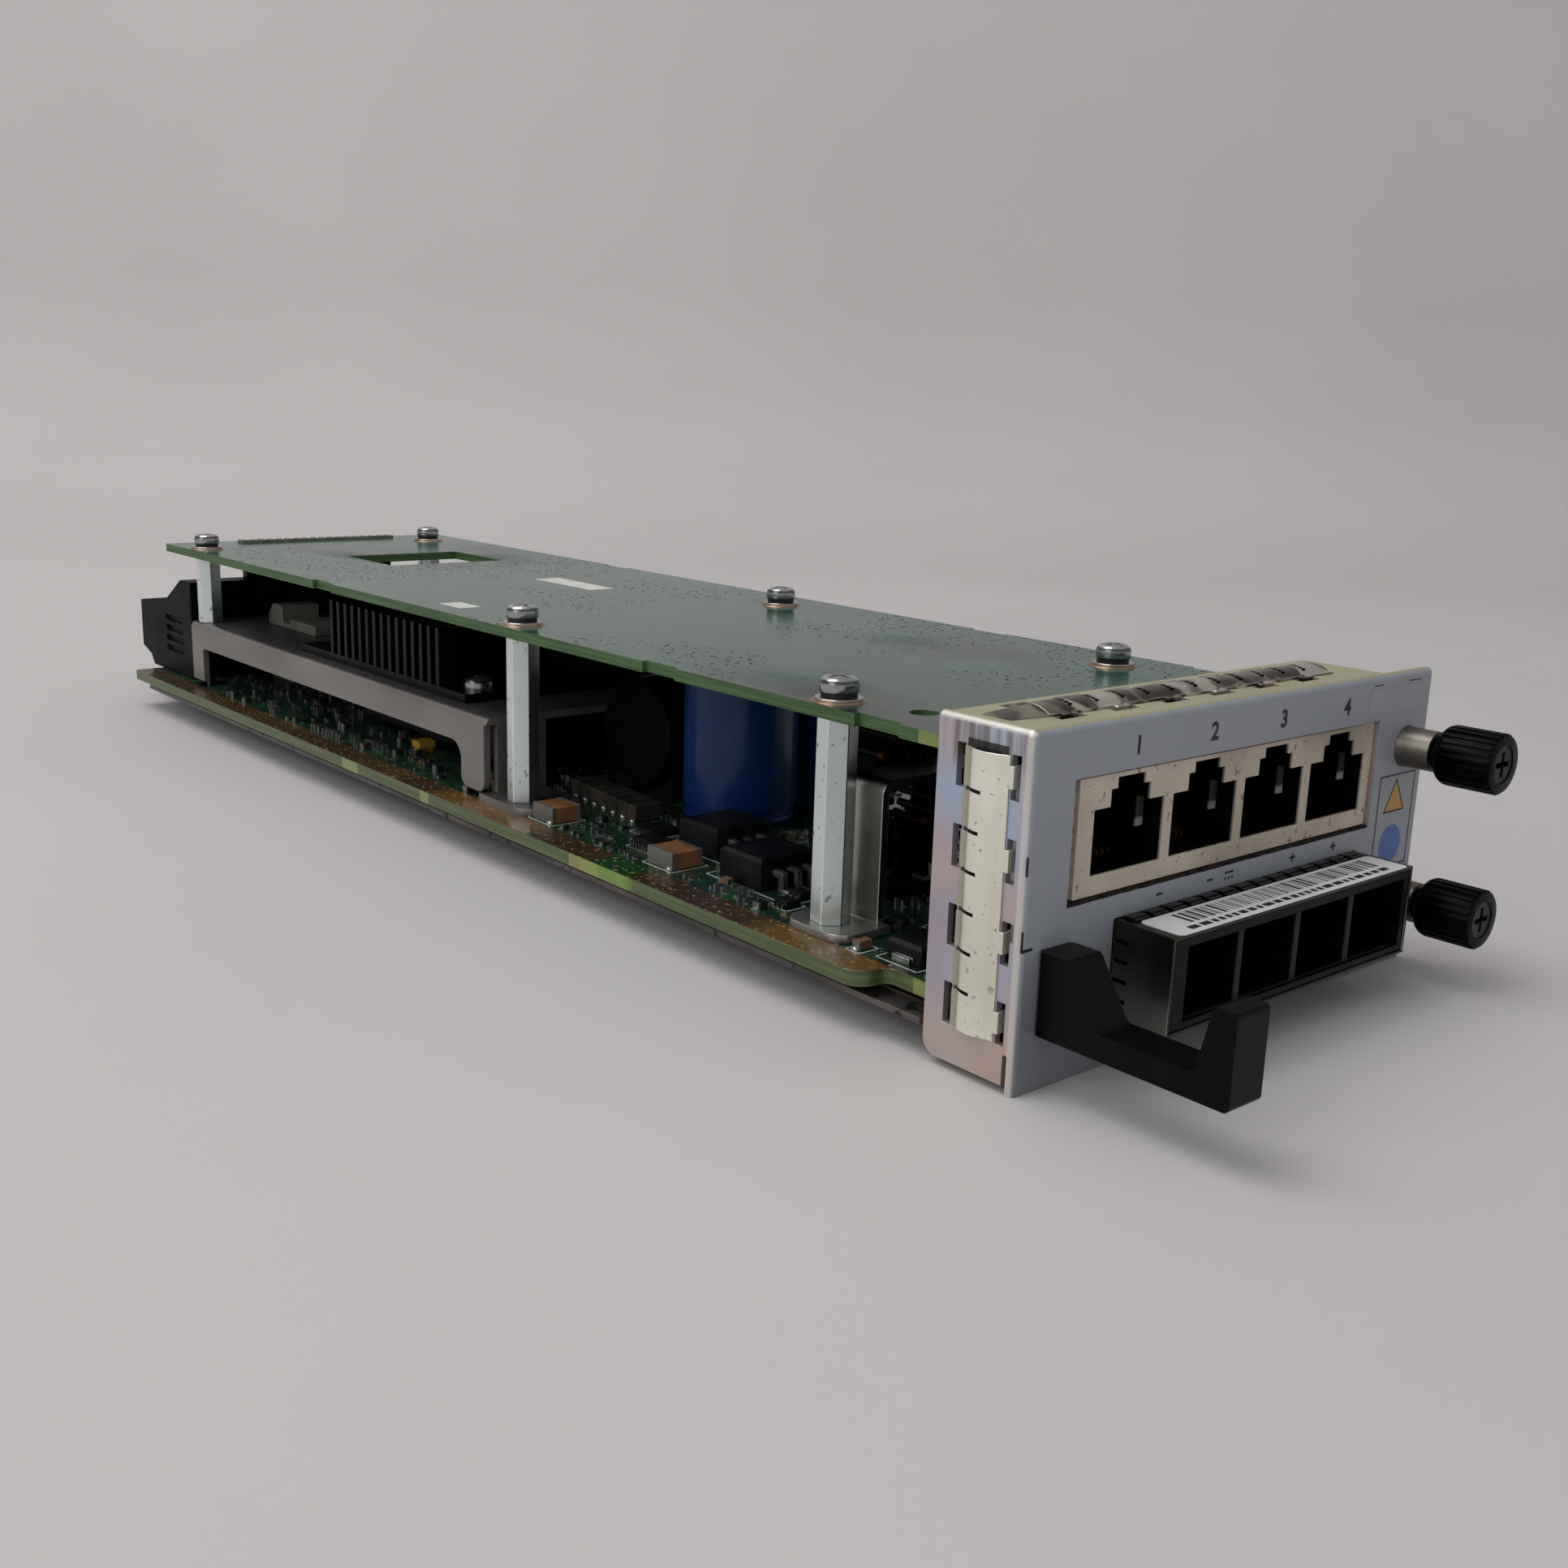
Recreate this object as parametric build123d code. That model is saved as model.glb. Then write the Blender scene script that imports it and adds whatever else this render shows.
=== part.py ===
from build123d import *
import math
import os

# Plug-in power supply module for a network chassis, in millimetres.
# While it is drawn, X runs right from the left edge of the front panel, Y runs from
# the panel's face into the chassis, and Z runs up from the panel's lower edge.

# Small clearances shared by every piece
SEAT = 0.05
RUN = 0.1

# Front panel, one folded sheet
SHEET = 1.0
FACE_W = 79.4
FACE_H = 40.7
TOP_FLANGE_W = 68.8
TOP_FLANGE_DEPTH = 12.9
SIDE_FLANGE_DEPTH = 13.7
SIDE_FLANGE_FOOT = 1.0
BEND_R = 0.9
FLANGE_CORNER_R = 2.0
RELIEF_SLIT = 0.6
RELIEF_HEIGHT = 4.6
PANEL_TAB_W = 12.0
PANEL_TAB_DEPTH = 11.0
PANEL_TAB_X = (26.0, 56.0)

# Spring finger gaskets in the flanges
FINGER_PITCH = 4.55
FINGER_SLIT = 0.45
GASKET_T = 0.25
GASKET_W = 6.4
GASKET_RISE = 1.0
GASKET_MARGIN = 0.7
SIDE_GASKET_Y = 3.0
SIDE_GASKET_Z = 5.7
SIDE_GASKET_END = 2.0
TOP_GASKET_X = 7.6
TOP_GASKET_Y = 4.2
TOP_GASKET_END = 4.0
SIDE_FINGERS = int((FACE_H - SIDE_GASKET_Z - SIDE_GASKET_END) / FINGER_PITCH)
TOP_FINGERS = int((TOP_FLANGE_W - TOP_GASKET_X - TOP_GASKET_END) / FINGER_PITCH)
HOOK_SLOT_W = 1.3
HOOK_SLOT_H = 4.9
HOOK_T = 0.5

# Boards
MAIN_Z = 6.05
MAIN_T = 2.0
MAIN_X = (-2.2, 71.0)
MAIN_SHOULDER = 4.6
MAIN_STEP_Y = 22.3
MAIN_FRONT_Y = 3.0
MAIN_REAR_Y = 264.6
TOP_BOARD_DROP = 3.9
TOP_BOARD_Z = FACE_H - SHEET - TOP_BOARD_DROP
TOP_BOARD_T = 1.6
TOP_BOARD_X = (2.0, 67.6)
TOP_BOARD_Y = (3.0, 252.6)
BREAK_TAB_Y = (22.0, 65.0, 170.0)
BREAK_TAB_L = 7.4
BREAK_TAB_DEEP = 0.8
BOARD_CORNER_R = 1.0
SHOULDER_R = 3.0
NECK_R = 1.4
TOP_WINDOW_X = (26.0, 51.5)
TOP_WINDOW_Y = (193.5, 213.5)
TOP_EYE_D = 3.6
TOP_EYE_XY = (9.4, 25.3)

# Standoffs and their hardware, M2.5
STAND_X = (5.9, 58.2)
STAND_Y = (36.5, 110.0, 238.7)
HEX_AF = 4.5
HEX_TURN = 20.0
THREAD_D = 2.5
HOLE_D = 2.9
SCREW_HEAD_D = 5.0
SCREW_HEAD_H = 2.0
SCREW_REACH = 5.5
CROSS_W = 0.7
CROSS_L = 3.3
CROSS_DEEP = 0.9
FLAT_WASHER_D = 6.0
FLAT_WASHER_T = 0.5
SPLIT_WASHER_D = 4.6
SPLIT_WASHER_T = 0.7
SPLIT_GAP = 0.5

# Base plate under the main board
PLATE_Z = 3.95
PLATE_T = 0.8
PLATE_INSET = 2.2
PLATE_Y = (1.6, 262.0)
FILM_T = 0.3
FILM_INSET = 1.2
SPACER_D = 5.5
COUNTERSINK_D = 4.8
COUNTERSINK_DEEP = 0.6

# Sheet brackets on the main board
BRACKET_T = 1.2
FOOT_CORNER_R = 3.0
BRIDGE_Y = (31.9, 38.4)
BRIDGE_FOOT_FRONT = 30.6
BRIDGE_FOOT_BACK = 42.0
BRIDGE_LEG_X = 10.9
BRIDGE_TOP_Z = 27.6
TABLE_SKIRT_X = 2.9
TABLE_FRONT_Y = 116.4
TABLE_REAR_Y = 242.2
TABLE_TOP_Z = 21.7
TABLE_FOOT_Y = 104.2
TABLE_TAB_X = 14.0
SKIRT_OPEN_Y = (124.6, 236.2)
SKIRT_OPEN_TOP = 16.4
SKIRT_OPEN_R = 3.0
SKIRT_BACK_R = 1.0
REAR_FOOT_IN = 18.0
SKIRT_TOE_R = 1.8
SKIRT_GAP = 0.8

# Finned heatsink on the rear bracket
SINK_X = 6.2
SINK_Y = (129.0, 193.0)
SINK_BASE_T = 1.5
SINK_TOP_GAP = 2.6
SINK_TOP_Z = TOP_BOARD_Z - SINK_TOP_GAP
FIN_COUNT = 15
FIN_FIRST_Y = 137.8
FIN_PITCH = 2.92
FIN_T = 1.1
SINK_SCREW_IN = (5.2, 22.0)
SINK_SCREW_Y = (133.6, 189.6)

# Converter brick under the rear bracket
BRICK_X = (17.0, 47.0)
BRICK_Y = (131.0, 189.0)
BRICK_GAP = 0.6
PIN_D = 1.2

# Signal jack with its row of ports
PORTS = 4
PORT_PITCH = 13.97
PORT_X = 11.25
PORT_W = 12.3
PORT_SILL = 2.3
PORT_H = 7.5
STEP_IN = 2.7
STEP_H = 2.0
NOTCH_IN = 3.75
NOTCH_H = 1.25
PORT_DEEP = 12.5
JACK_X = (8.5, 67.2)
JACK_HANG = 15.0
JACK_GAP = 1.4
JACK_Z = (TOP_BOARD_Z - JACK_HANG, TOP_BOARD_Z - JACK_GAP)
PORT_Z = JACK_Z[0] + PORT_SILL
JACK_FRONT = 0.5
JACK_BACK = 16.8
SHELL_T = 0.35
EARTH_TAB_IN = 0.5
EARTH_TAB_W = 1.3
EARTH_TAB_T = 0.3
EARTH_TAB_Y = 2.6
EARTH_TAB_L = 3.75
JACK_TAB_Y = (4.0, 12.5)
JACK_TAB_W = 2.5
JACK_OPEN_X = (7.1, 67.7)
JACK_OPEN_Z = (JACK_Z[0] - 0.5, JACK_Z[1] + 0.25)
CONTACTS_PER_PORT = 8
CONTACT_PITCH = 1.02
CONTACT_W = 0.45

# Power inlet with its row of bays
INLET_X = (15.6, 65.2)
INLET_FOOT = 5.9 / 40.7 * FACE_H
INLET_Z = (INLET_FOOT, INLET_FOOT + 0.285 * FACE_H)
INLET_OUT = 8.2
INLET_BACK = 19.0
INLET_STEP = 13.0
SHIELD_T = 0.4
BAYS = 4
BAY_RIM = 2.6
BAY_WALL = 1.1
BAY_FLOOR = 0.8
BAY_DEEP = 17.0
RIB_SET_BACK = 0.9
BLADE_W = 5.6
BLADE_T = 1.0
BLADE_OUT = 12.0
SHIELD_SLITS = 14
SHIELD_SIDE_SLITS = 4

# Pull handle
HANDLE_X = 2.9
HANDLE_W = 5.4
HANDLE_OUT = 25.1
HANDLE_Z = (6.8, 16.4)
HANDLE_TIP_Z = 17.2
HANDLE_BAR_T = 2.9
HANDLE_LEG_T = 2.8
HANDLE_ROOT = 8.4
HANDLE_EDGE_R = 0.7
HANDLE_SCREW_Z = 12.0

# Captive thumbscrews, M3, shown sprung out
KNOB_IN = 4.6
KNOB_X = FACE_W - KNOB_IN
KNOB_FOOT_Z = 9.8
KNOB_DOWN = 10.2
KNOB_Z = (KNOB_FOOT_Z, FACE_H - KNOB_DOWN)
KNOB_D = 8.0
KNOB_LEN = 8.0
KNOB_REST = 5.4
KNOB_FLUTES = 24
FLUTE_DEEP = 0.25
KNOB_BORE = 5.8
KNOB_WALL = 2.4
KNOB_FACE_D = 5.0
KNOB_FACE_DEEP = 0.9
FERRULE_D = 5.4
FERRULE_OUT = 4.5
FERRULE_FLANGE_D = 6.8
FERRULE_FLANGE_T = 0.8
FERRULE_BORE = 4.3
FERRULE_LIP = 0.9
SHAFT_D = 3.0
SHAFT_TIP_Y = 11.5
GROOVE_D = 2.4
RING_D = 5.0
RING_T = 0.6

# Parts on the main board
CAN_X = 31.5
CAN_Y = 87.0
CAN_D = 18.0
CAN_HEADROOM = 2.55
SECOND_CAN_X = 50.5
SECOND_CAN_Y = 86.0
CAN_NECK_D = 17.2
CAN_NECK_Z = 1.6
LYING_CAN_D = 18.4
LYING_CAN_X = (25.0, 54.4)
LYING_CAN_Y = 106.8
SADDLE_T = 1.5
CHOKE_X = 27.0
CHOKE_Y = 47.0
CHOKE_CORE_D = 19.6
CHOKE_HOLE_D = 12.6
CHOKE_CORE_T = 7.6
CHOKE_TURNS = 20
CHOKE_WIRE = 1.1
CHOKE_BASE_T = 1.4
LEAD_GAP = 0.2

# Rear connector that plugs into the backplane
PLUG_X = (4.0, 60.2)
PLUG_FRONT_Y = 245.0
PLUG_REAR_Y = 276.6
PLUG_NOSE_TOP = 22.4
PLUG_MID_TOP = 24.7
PLUG_TOP = 29.5
PLUG_SHOULDER_Y = 251.0
PLUG_STEP_Y = 259.6
PLUG_NOSE_FOOT = 3.7
PLUG_KEEL_IN = 5.0
PLUG_KEEL_UP = 2.2
PLUG_TOE_IN = 6.8
PLUG_RIBS = 4
PLUG_RIB_L = 10.0
PLUG_BLADES = 6
PLUG_SLOT_DEEP = 9.0
TOP_HEADER_X = (18.0, 53.0)
TOP_HEADER_Y = (247.4, 250.2)
HEADER_PINS = 17

# Small parts on the main board: place, then length, width and height
TAN_PARTS = ((4.0, 98.4, 5.0, 5.6, 2.5), (4.5, 68.1, 5.2, 5.8, 2.5), (3.3, 28.2, 2.0, 1.2, 1.2))
CHIP_PARTS = (
    (7.4, 77.2, 3.9, 4.9, 1.5),
    (12.4, 83.4, 5.0, 5.0, 0.9),
    (6.6, 45.8, 2.2, 2.6, 1.0),
    (10.4, 47.4, 2.2, 2.6, 1.0),
)
GREY_COUNT = 7
GREY_FIRST = (15.2, 92.4)
GREY_STEP = (0.3, 3.1)
GREY_SIZE = (5.0, 2.5, 2.6)
TRANSISTOR_AT = ((8.5, 53.5), (13.0, 69.0))
TRANSISTOR_SIZE = (10.0, 9.0, 4.5)
TRANSISTOR_TAB = (8.8, 1.6, 1.3)
LEAD_PLACES = (2.0, 7.2)
LEAD_W = 0.9
LEAD_T = 0.5
LEAD_UP = 2.5
LEAD_REACH = 3.4
DIODE_AT = (5.0, 19.4)
DIODE_SIZE = (6.8, 5.8, 2.5)
DIODE_TAB = (0.6, 3.0, 0.9)
INDUCTOR_X = (17.0, 29.0)
INDUCTOR_Y = (20.5, 30.0)
INDUCTOR_H = 7.0

# Parts under the top board and on the rear bracket
TOP_CHIP_X = (12.0, 18.0)
TOP_CHIP_Y = (83.0, 91.0)
TOP_CHIP_H = 2.0
TERMINAL_X = (15.6, 24.0)
TERMINAL_Y = (207.8, 231.0)
TERMINAL_BASE = 1.0
TERMINAL_FRONT_L = 12.2
TERMINAL_FRONT_H = 2.2
TERMINAL_BACK_L = 7.0
TERMINAL_BACK_H = 4.6


def block(x, y, z):
    """A box between the two ends given for each direction."""
    size = (x[1] - x[0], y[1] - y[0], z[1] - z[0])
    centre = ((x[0] + x[1]) / 2, (y[0] + y[1]) / 2, (z[0] + z[1]) / 2)
    return Pos(*centre) * Box(*size)


def upright(x, y, z, diameter):
    """A cylinder that stands at x, y between the two heights z."""
    return Pos(x, y, (z[0] + z[1]) / 2) * Cylinder(diameter / 2, z[1] - z[0])


def along_y(x, z, y, diameter):
    """A cylinder that lies along Y between the two places y."""
    return Pos(x, (y[0] + y[1]) / 2, z) * Rot(90, 0, 0) * Cylinder(diameter / 2, y[1] - y[0])


def mirrored(x):
    """The same place on the right-hand half of the boards."""
    return STAND_X[0] + STAND_X[1] - x


def extruded(points, plane, length):
    """A straight-sided profile pushed out along the plane's normal."""
    return extrude(plane * make_face(Polyline(*points, close=True)), length)


def corner_edges(shape, axis, places, reach=0.05):
    """The edges along one axis that pass through any of the given places."""
    found = ShapeList()
    for edge in shape.edges().filter_by(axis):
        centre = edge.center()
        for place in places:
            near = [
                wanted is None or abs(value - wanted) < reach
                for value, wanted in zip((centre.X, centre.Y, centre.Z), place)
            ]
            if all(near) and edge not in found:
                found.append(edge)
    return found


MAIN_TOP = MAIN_Z + MAIN_T
TOP_FACE = TOP_BOARD_Z + TOP_BOARD_T
FOOT_TOP = MAIN_TOP + BRACKET_T
MIDDLE_X = (STAND_X[0] + STAND_X[1]) / 2
CAN_H = TOP_BOARD_Z - MAIN_TOP - LEAD_GAP - CAN_HEADROOM
SLOT_PITCH = 2 * FINGER_PITCH
SLOT_COUNT = (SIDE_FINGERS + 1) // 2


def hook_slots():
    """Centres of the slots beside the side gasket, as front and back pairs."""
    front = SIDE_GASKET_Y - HOOK_SLOT_W / 2 - RUN
    back = SIDE_GASKET_Y + GASKET_W + HOOK_SLOT_W / 2 + RUN
    first = SIDE_GASKET_Z + FINGER_PITCH / 2
    heights = [first + SLOT_PITCH * i for i in range(SLOT_COUNT)]
    return [(y, z) for y in (front, back) for z in heights]


def make_front_panel():
    face = block((0, FACE_W), (0, SHEET), (0, FACE_H))
    side = block((0, SHEET), (0, SIDE_FLANGE_DEPTH), (SIDE_FLANGE_FOOT, FACE_H))
    top = block((0, TOP_FLANGE_W), (0, TOP_FLANGE_DEPTH), (FACE_H - SHEET, FACE_H))
    panel = face + side + top
    for x in PANEL_TAB_X:
        panel += block(
            (x, x + PANEL_TAB_W), (0, PANEL_TAB_DEPTH), (PLATE_Z - SHEET, PLATE_Z)
        )
    bends = corner_edges(panel, Axis.Z, [(0, 0, None)])
    bends += corner_edges(panel, Axis.X, [(None, 0, FACE_H)])
    bends += corner_edges(panel, Axis.Y, [(0, None, FACE_H)])
    panel = fillet(bends, BEND_R)
    corner = corner_edges(panel, Axis.X, [(SHEET / 2, SIDE_FLANGE_DEPTH, SIDE_FLANGE_FOOT)])
    panel = fillet(corner, FLANGE_CORNER_R)
    panel -= block(JACK_OPEN_X, (-1, SHEET + 1), JACK_OPEN_Z)
    panel -= block(
        (INLET_X[0] - RUN, INLET_X[1] + RUN), (-1, SHEET + 1), (INLET_Z[0] - RUN, INLET_Z[1] + RUN)
    )
    panel -= block((-1, SHEET), (SHEET, SHEET + RELIEF_SLIT), (-1, RELIEF_HEIGHT))
    for y, z in hook_slots():
        panel -= block(
            (-1, SHEET + 1),
            (y - HOOK_SLOT_W / 2, y + HOOK_SLOT_W / 2),
            (z - HOOK_SLOT_H / 2, z + HOOK_SLOT_H / 2),
        )
    for x in top_slots():
        for y in (TOP_GASKET_Y - HOOK_SLOT_W - RUN, TOP_GASKET_Y + GASKET_W + RUN):
            if y + HOOK_SLOT_W < TOP_FLANGE_DEPTH:
                panel -= block(
                    (x - HOOK_SLOT_H / 2, x + HOOK_SLOT_H / 2),
                    (y, y + HOOK_SLOT_W),
                    (FACE_H - SHEET - 1, FACE_H + 1),
                )
    for z in KNOB_Z:
        panel -= along_y(KNOB_X, z, (-1, SHEET + 1), FERRULE_D + 2 * SEAT)
    panel -= along_y(HANDLE_X + HANDLE_W / 2, HANDLE_SCREW_Z, (-1, SHEET + 1), HOLE_D)
    return panel


def top_slots():
    """Places along X of the slots under the top gasket's hooks."""
    first = TOP_GASKET_X + FINGER_PITCH / 2
    return [first + SLOT_PITCH * i for i in range(TOP_FINGERS // 2)]


def gasket_strip(fingers):
    """A row of bowed fingers along Z, its flat margins on the plane X = 0."""
    length = fingers * FINGER_PITCH
    mid = GASKET_W / 2
    outer = [
        Line((0, 0), (-GASKET_T, 0)),
        Line((-GASKET_T, 0), (-GASKET_T, GASKET_MARGIN)),
        ThreePointArc(
            (-GASKET_T, GASKET_MARGIN),
            (-GASKET_RISE, mid),
            (-GASKET_T, GASKET_W - GASKET_MARGIN),
        ),
        Line((-GASKET_T, GASKET_W - GASKET_MARGIN), (-GASKET_T, GASKET_W)),
        Line((-GASKET_T, GASKET_W), (0, GASKET_W)),
        Line((0, GASKET_W), (0, GASKET_W - GASKET_MARGIN)),
        ThreePointArc(
            (0, GASKET_W - GASKET_MARGIN),
            (GASKET_T - GASKET_RISE, mid),
            (0, GASKET_MARGIN),
        ),
        Line((0, GASKET_MARGIN), (0, 0)),
    ]
    strip = extrude(make_face(outer), length)
    for i in range(1, fingers):
        z = FINGER_PITCH * i
        strip -= block(
            (-GASKET_RISE - 1, 1),
            (mid, GASKET_W + 1),
            (z - FINGER_SLIT / 2, z + FINGER_SLIT / 2),
        )
    inner = -RUN - SEAT
    half_h = HOOK_SLOT_H / 4
    hook = block((-GASKET_T, SHEET + HOOK_T), (inner - HOOK_T, inner), (-half_h, half_h))
    arm = block((-GASKET_T, 0), (inner - HOOK_T, GASKET_T), (-half_h, half_h))
    for i in range(0, fingers, 2):
        strip += Pos(0, 0, FINGER_PITCH * (i + 0.5)) * (hook + arm)
    return strip


def make_side_gasket():
    return Pos(0, SIDE_GASKET_Y, SIDE_GASKET_Z) * gasket_strip(SIDE_FINGERS)


def make_top_gasket():
    """The same strip laid over: its bow points up and its length runs along X."""
    turned = Location(Plane(
        origin=(TOP_GASKET_X, TOP_GASKET_Y, FACE_H), x_dir=(0, 0, -1), z_dir=(1, 0, 0)
    ))
    return turned * gasket_strip(TOP_FINGERS)


def port_outline(index):
    """One port's opening: a wide mouth with a step and a latch notch above it."""
    x = PORT_X + PORT_PITCH * index
    low, high = PORT_Z, PORT_Z + PORT_H
    step, notch = high + STEP_H, high + STEP_H + NOTCH_H
    return [
        (x, low),
        (x + PORT_W, low),
        (x + PORT_W, high),
        (x + PORT_W - STEP_IN, high),
        (x + PORT_W - STEP_IN, step),
        (x + PORT_W - NOTCH_IN, step),
        (x + PORT_W - NOTCH_IN, notch),
        (x + NOTCH_IN, notch),
        (x + NOTCH_IN, step),
        (x + STEP_IN, step),
        (x + STEP_IN, high),
        (x, high),
    ]


def port_hole(index, front, back):
    """The port's outline as a solid that runs back along Y."""
    plane = Plane(origin=(0, back, 0), x_dir=(1, 0, 0), z_dir=(0, -1, 0))
    return extruded(port_outline(index), plane, back - front)


def make_jack_shell():
    shell = block(JACK_X, (JACK_FRONT, JACK_BACK), JACK_Z)
    shell -= block(
        (JACK_X[0] + SHELL_T, JACK_X[1] - SHELL_T),
        (JACK_FRONT + SHELL_T, JACK_BACK + 1),
        (JACK_Z[0] - 1, JACK_Z[1] - SHELL_T),
    )
    shell += block(
        (JACK_X[0], JACK_X[1]), (JACK_FRONT, JACK_FRONT + 3), (JACK_Z[0], JACK_Z[0] + SHELL_T)
    )
    for i in range(PORTS):
        shell -= port_hole(i, JACK_FRONT - 1, JACK_FRONT + SHELL_T + SEAT)
    for x in (JACK_X[0], JACK_X[1] - SHELL_T):
        for y in JACK_TAB_Y:
            shell += block((x, x + SHELL_T), (y, y + JACK_TAB_W), (JACK_Z[1] - 1, TOP_BOARD_Z))
    finger_h = (JACK_Z[1] - JACK_Z[0]) / 6
    for i in range(5):
        z = JACK_Z[0] + finger_h * (i + 0.6)
        shell += block(
            (JACK_OPEN_X[0] + 0.35, JACK_X[0]), (JACK_FRONT + 0.6, JACK_FRONT + 1), (z, z + finger_h * 0.7)
        )
    return shell


def make_jack_insert():
    insert = block(
        (JACK_X[0] + SHELL_T, JACK_X[1] - SHELL_T),
        (JACK_FRONT + SHELL_T, JACK_BACK - SEAT),
        (JACK_Z[0] + SHELL_T, JACK_Z[1] - SHELL_T),
    )
    for i in range(PORTS):
        insert -= port_hole(i, JACK_FRONT, JACK_FRONT + SHELL_T + PORT_DEEP)
    return insert


def make_jack_contacts():
    """Sprung wires that slope down from the roof of each port's floor."""
    wires = []
    back = JACK_FRONT + SHELL_T + PORT_DEEP
    for port in range(PORTS):
        first = PORT_X + PORT_PITCH * port + PORT_W / 2
        first -= CONTACT_PITCH * (CONTACTS_PER_PORT - 1) / 2
        for i in range(CONTACTS_PER_PORT):
            x = first + CONTACT_PITCH * i
            side = Plane(origin=(x - CONTACT_W / 2, 0, 0), x_dir=(0, 1, 0), z_dir=(1, 0, 0))
            path = [
                (back, PORT_Z),
                (back, PORT_Z + 3.6),
                (back - 0.4, PORT_Z + 3.6),
                (back - 7.5, PORT_Z + 0.4),
                (back - 7.5, PORT_Z),
                (back - 6.9, PORT_Z),
                (back - 0.4, PORT_Z + 3.0),
                (back - 0.4, PORT_Z),
            ]
            wires.append(extruded(path, side, CONTACT_W))
    return wires


def make_jack_tabs():
    """A metal earth tab that hangs from the ledge in the upper right of each port."""
    tabs = []
    for i in range(PORTS):
        x = PORT_X + PORT_PITCH * i + PORT_W - STEP_IN + EARTH_TAB_IN
        high = PORT_Z + PORT_H
        tabs.append(block(
            (x, x + EARTH_TAB_W), (EARTH_TAB_Y, EARTH_TAB_Y + EARTH_TAB_T), (high - EARTH_TAB_L, high)
        ))
    return tabs


def bay_places():
    """Left edge and width of each bay between the two rims."""
    left = INLET_X[0] + SHIELD_T + BAY_RIM
    right = INLET_X[1] - SHIELD_T - BAY_WALL
    width = (right - left - BAY_WALL * (BAYS - 1)) / BAYS
    return [(left + (width + BAY_WALL) * i, width) for i in range(BAYS)]


def make_inlet_shield():
    outer = block(INLET_X, (-INLET_OUT, INLET_STEP), INLET_Z)
    inner = block(
        (INLET_X[0] + SHIELD_T, INLET_X[1] - SHIELD_T),
        (-INLET_OUT - 1, INLET_STEP + 1),
        (INLET_Z[0] + SHIELD_T, INLET_Z[1] - SHIELD_T),
    )
    shield = outer - inner
    pitch = (INLET_X[1] - INLET_X[0] - 2) / SHIELD_SLITS
    for i in range(SHIELD_SLITS):
        x = INLET_X[0] + 1 + pitch * (i + 0.5)
        shield -= block((x - 0.3, x + 0.3), (-1.9, -0.4), (INLET_Z[1] - 1, INLET_Z[1] + 1))
    drop = (INLET_Z[1] - INLET_Z[0]) / (SHIELD_SIDE_SLITS + 1)
    for i in range(SHIELD_SIDE_SLITS):
        z = INLET_Z[0] + drop * (i + 1)
        shield -= block((INLET_X[0] - 1, INLET_X[0] + 1), (-2.2, -0.2), (z - 0.25, z + 0.25))
    return shield


def make_inlet_housing():
    body_x = (INLET_X[0] + SHIELD_T + SEAT, INLET_X[1] - SHIELD_T - SEAT)
    body_z = (INLET_Z[0] + SHIELD_T + SEAT, INLET_Z[1] - SHIELD_T - SEAT)
    body = block(body_x, (-INLET_OUT + 0.15, INLET_STEP), body_z)
    body += block(body_x, (INLET_STEP, INLET_BACK), (MAIN_TOP, body_z[1]))
    low, high = body_z[0] + BAY_FLOOR, body_z[1] - BAY_WALL
    mouth_y = -INLET_OUT
    for x, width in bay_places():
        body -= block((x, x + width), (mouth_y - 1, mouth_y + BAY_DEEP), (low, high))
    first, last = bay_places()[0], bay_places()[-1]
    body -= block(
        (first[0], last[0] + last[1]), (mouth_y - 1, mouth_y + RIB_SET_BACK), (low, high)
    )
    return body


def make_inlet_blades():
    """One flat blade in each bay, its tail bent down to the board behind."""
    blades = []
    back = -INLET_OUT + BAY_DEEP
    mid_z = (INLET_Z[0] + INLET_Z[1]) / 2
    for x, width in bay_places():
        mid = x + width / 2
        blades.append(block(
            (mid - BLADE_T / 2, mid + BLADE_T / 2),
            (back - BLADE_OUT, back),
            (mid_z - BLADE_W / 2, mid_z + BLADE_W / 2),
        ))
    return blades


def make_handle():
    low, root_top = HANDLE_Z
    bar_top = low + HANDLE_BAR_T
    root_lean = HANDLE_ROOT / 2
    leg_back = HANDLE_OUT - HANDLE_LEG_T
    profile = [
        (0, low),
        (-HANDLE_OUT, low),
        (-HANDLE_OUT, HANDLE_TIP_Z),
        (-leg_back, HANDLE_TIP_Z),
        (-leg_back + 1.6, bar_top),
        (-HANDLE_ROOT, bar_top),
        (-root_lean, root_top),
        (0, root_top),
    ]
    plane = Plane(origin=(HANDLE_X, 0, 0), x_dir=(0, 1, 0), z_dir=(1, 0, 0))
    pull = extruded(profile, plane, HANDLE_W)
    mid = HANDLE_X + HANDLE_W / 2
    inner = corner_edges(
        pull, Axis.X, [(mid, -leg_back + 1.6, bar_top), (mid, -HANDLE_ROOT, bar_top)]
    )
    pull = fillet(inner, HANDLE_LEG_T / 2)
    outer = corner_edges(
        pull,
        Axis.X,
        [
            (mid, -HANDLE_OUT, low),
            (mid, -HANDLE_OUT, HANDLE_TIP_Z),
            (mid, -leg_back, HANDLE_TIP_Z),
            (mid, -root_lean, root_top),
        ],
    )
    pull = fillet(outer, HANDLE_EDGE_R)
    rims = pull.edges().filter_by(GeomType.LINE).filter_by(Axis.Z).group_by(Axis.Y)[-1]
    pull = fillet(rims, HANDLE_EDGE_R)
    return pull - along_y(mid, HANDLE_SCREW_Z, (-SCREW_REACH - 0.5, 1), THREAD_D + 2 * SEAT)


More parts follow.
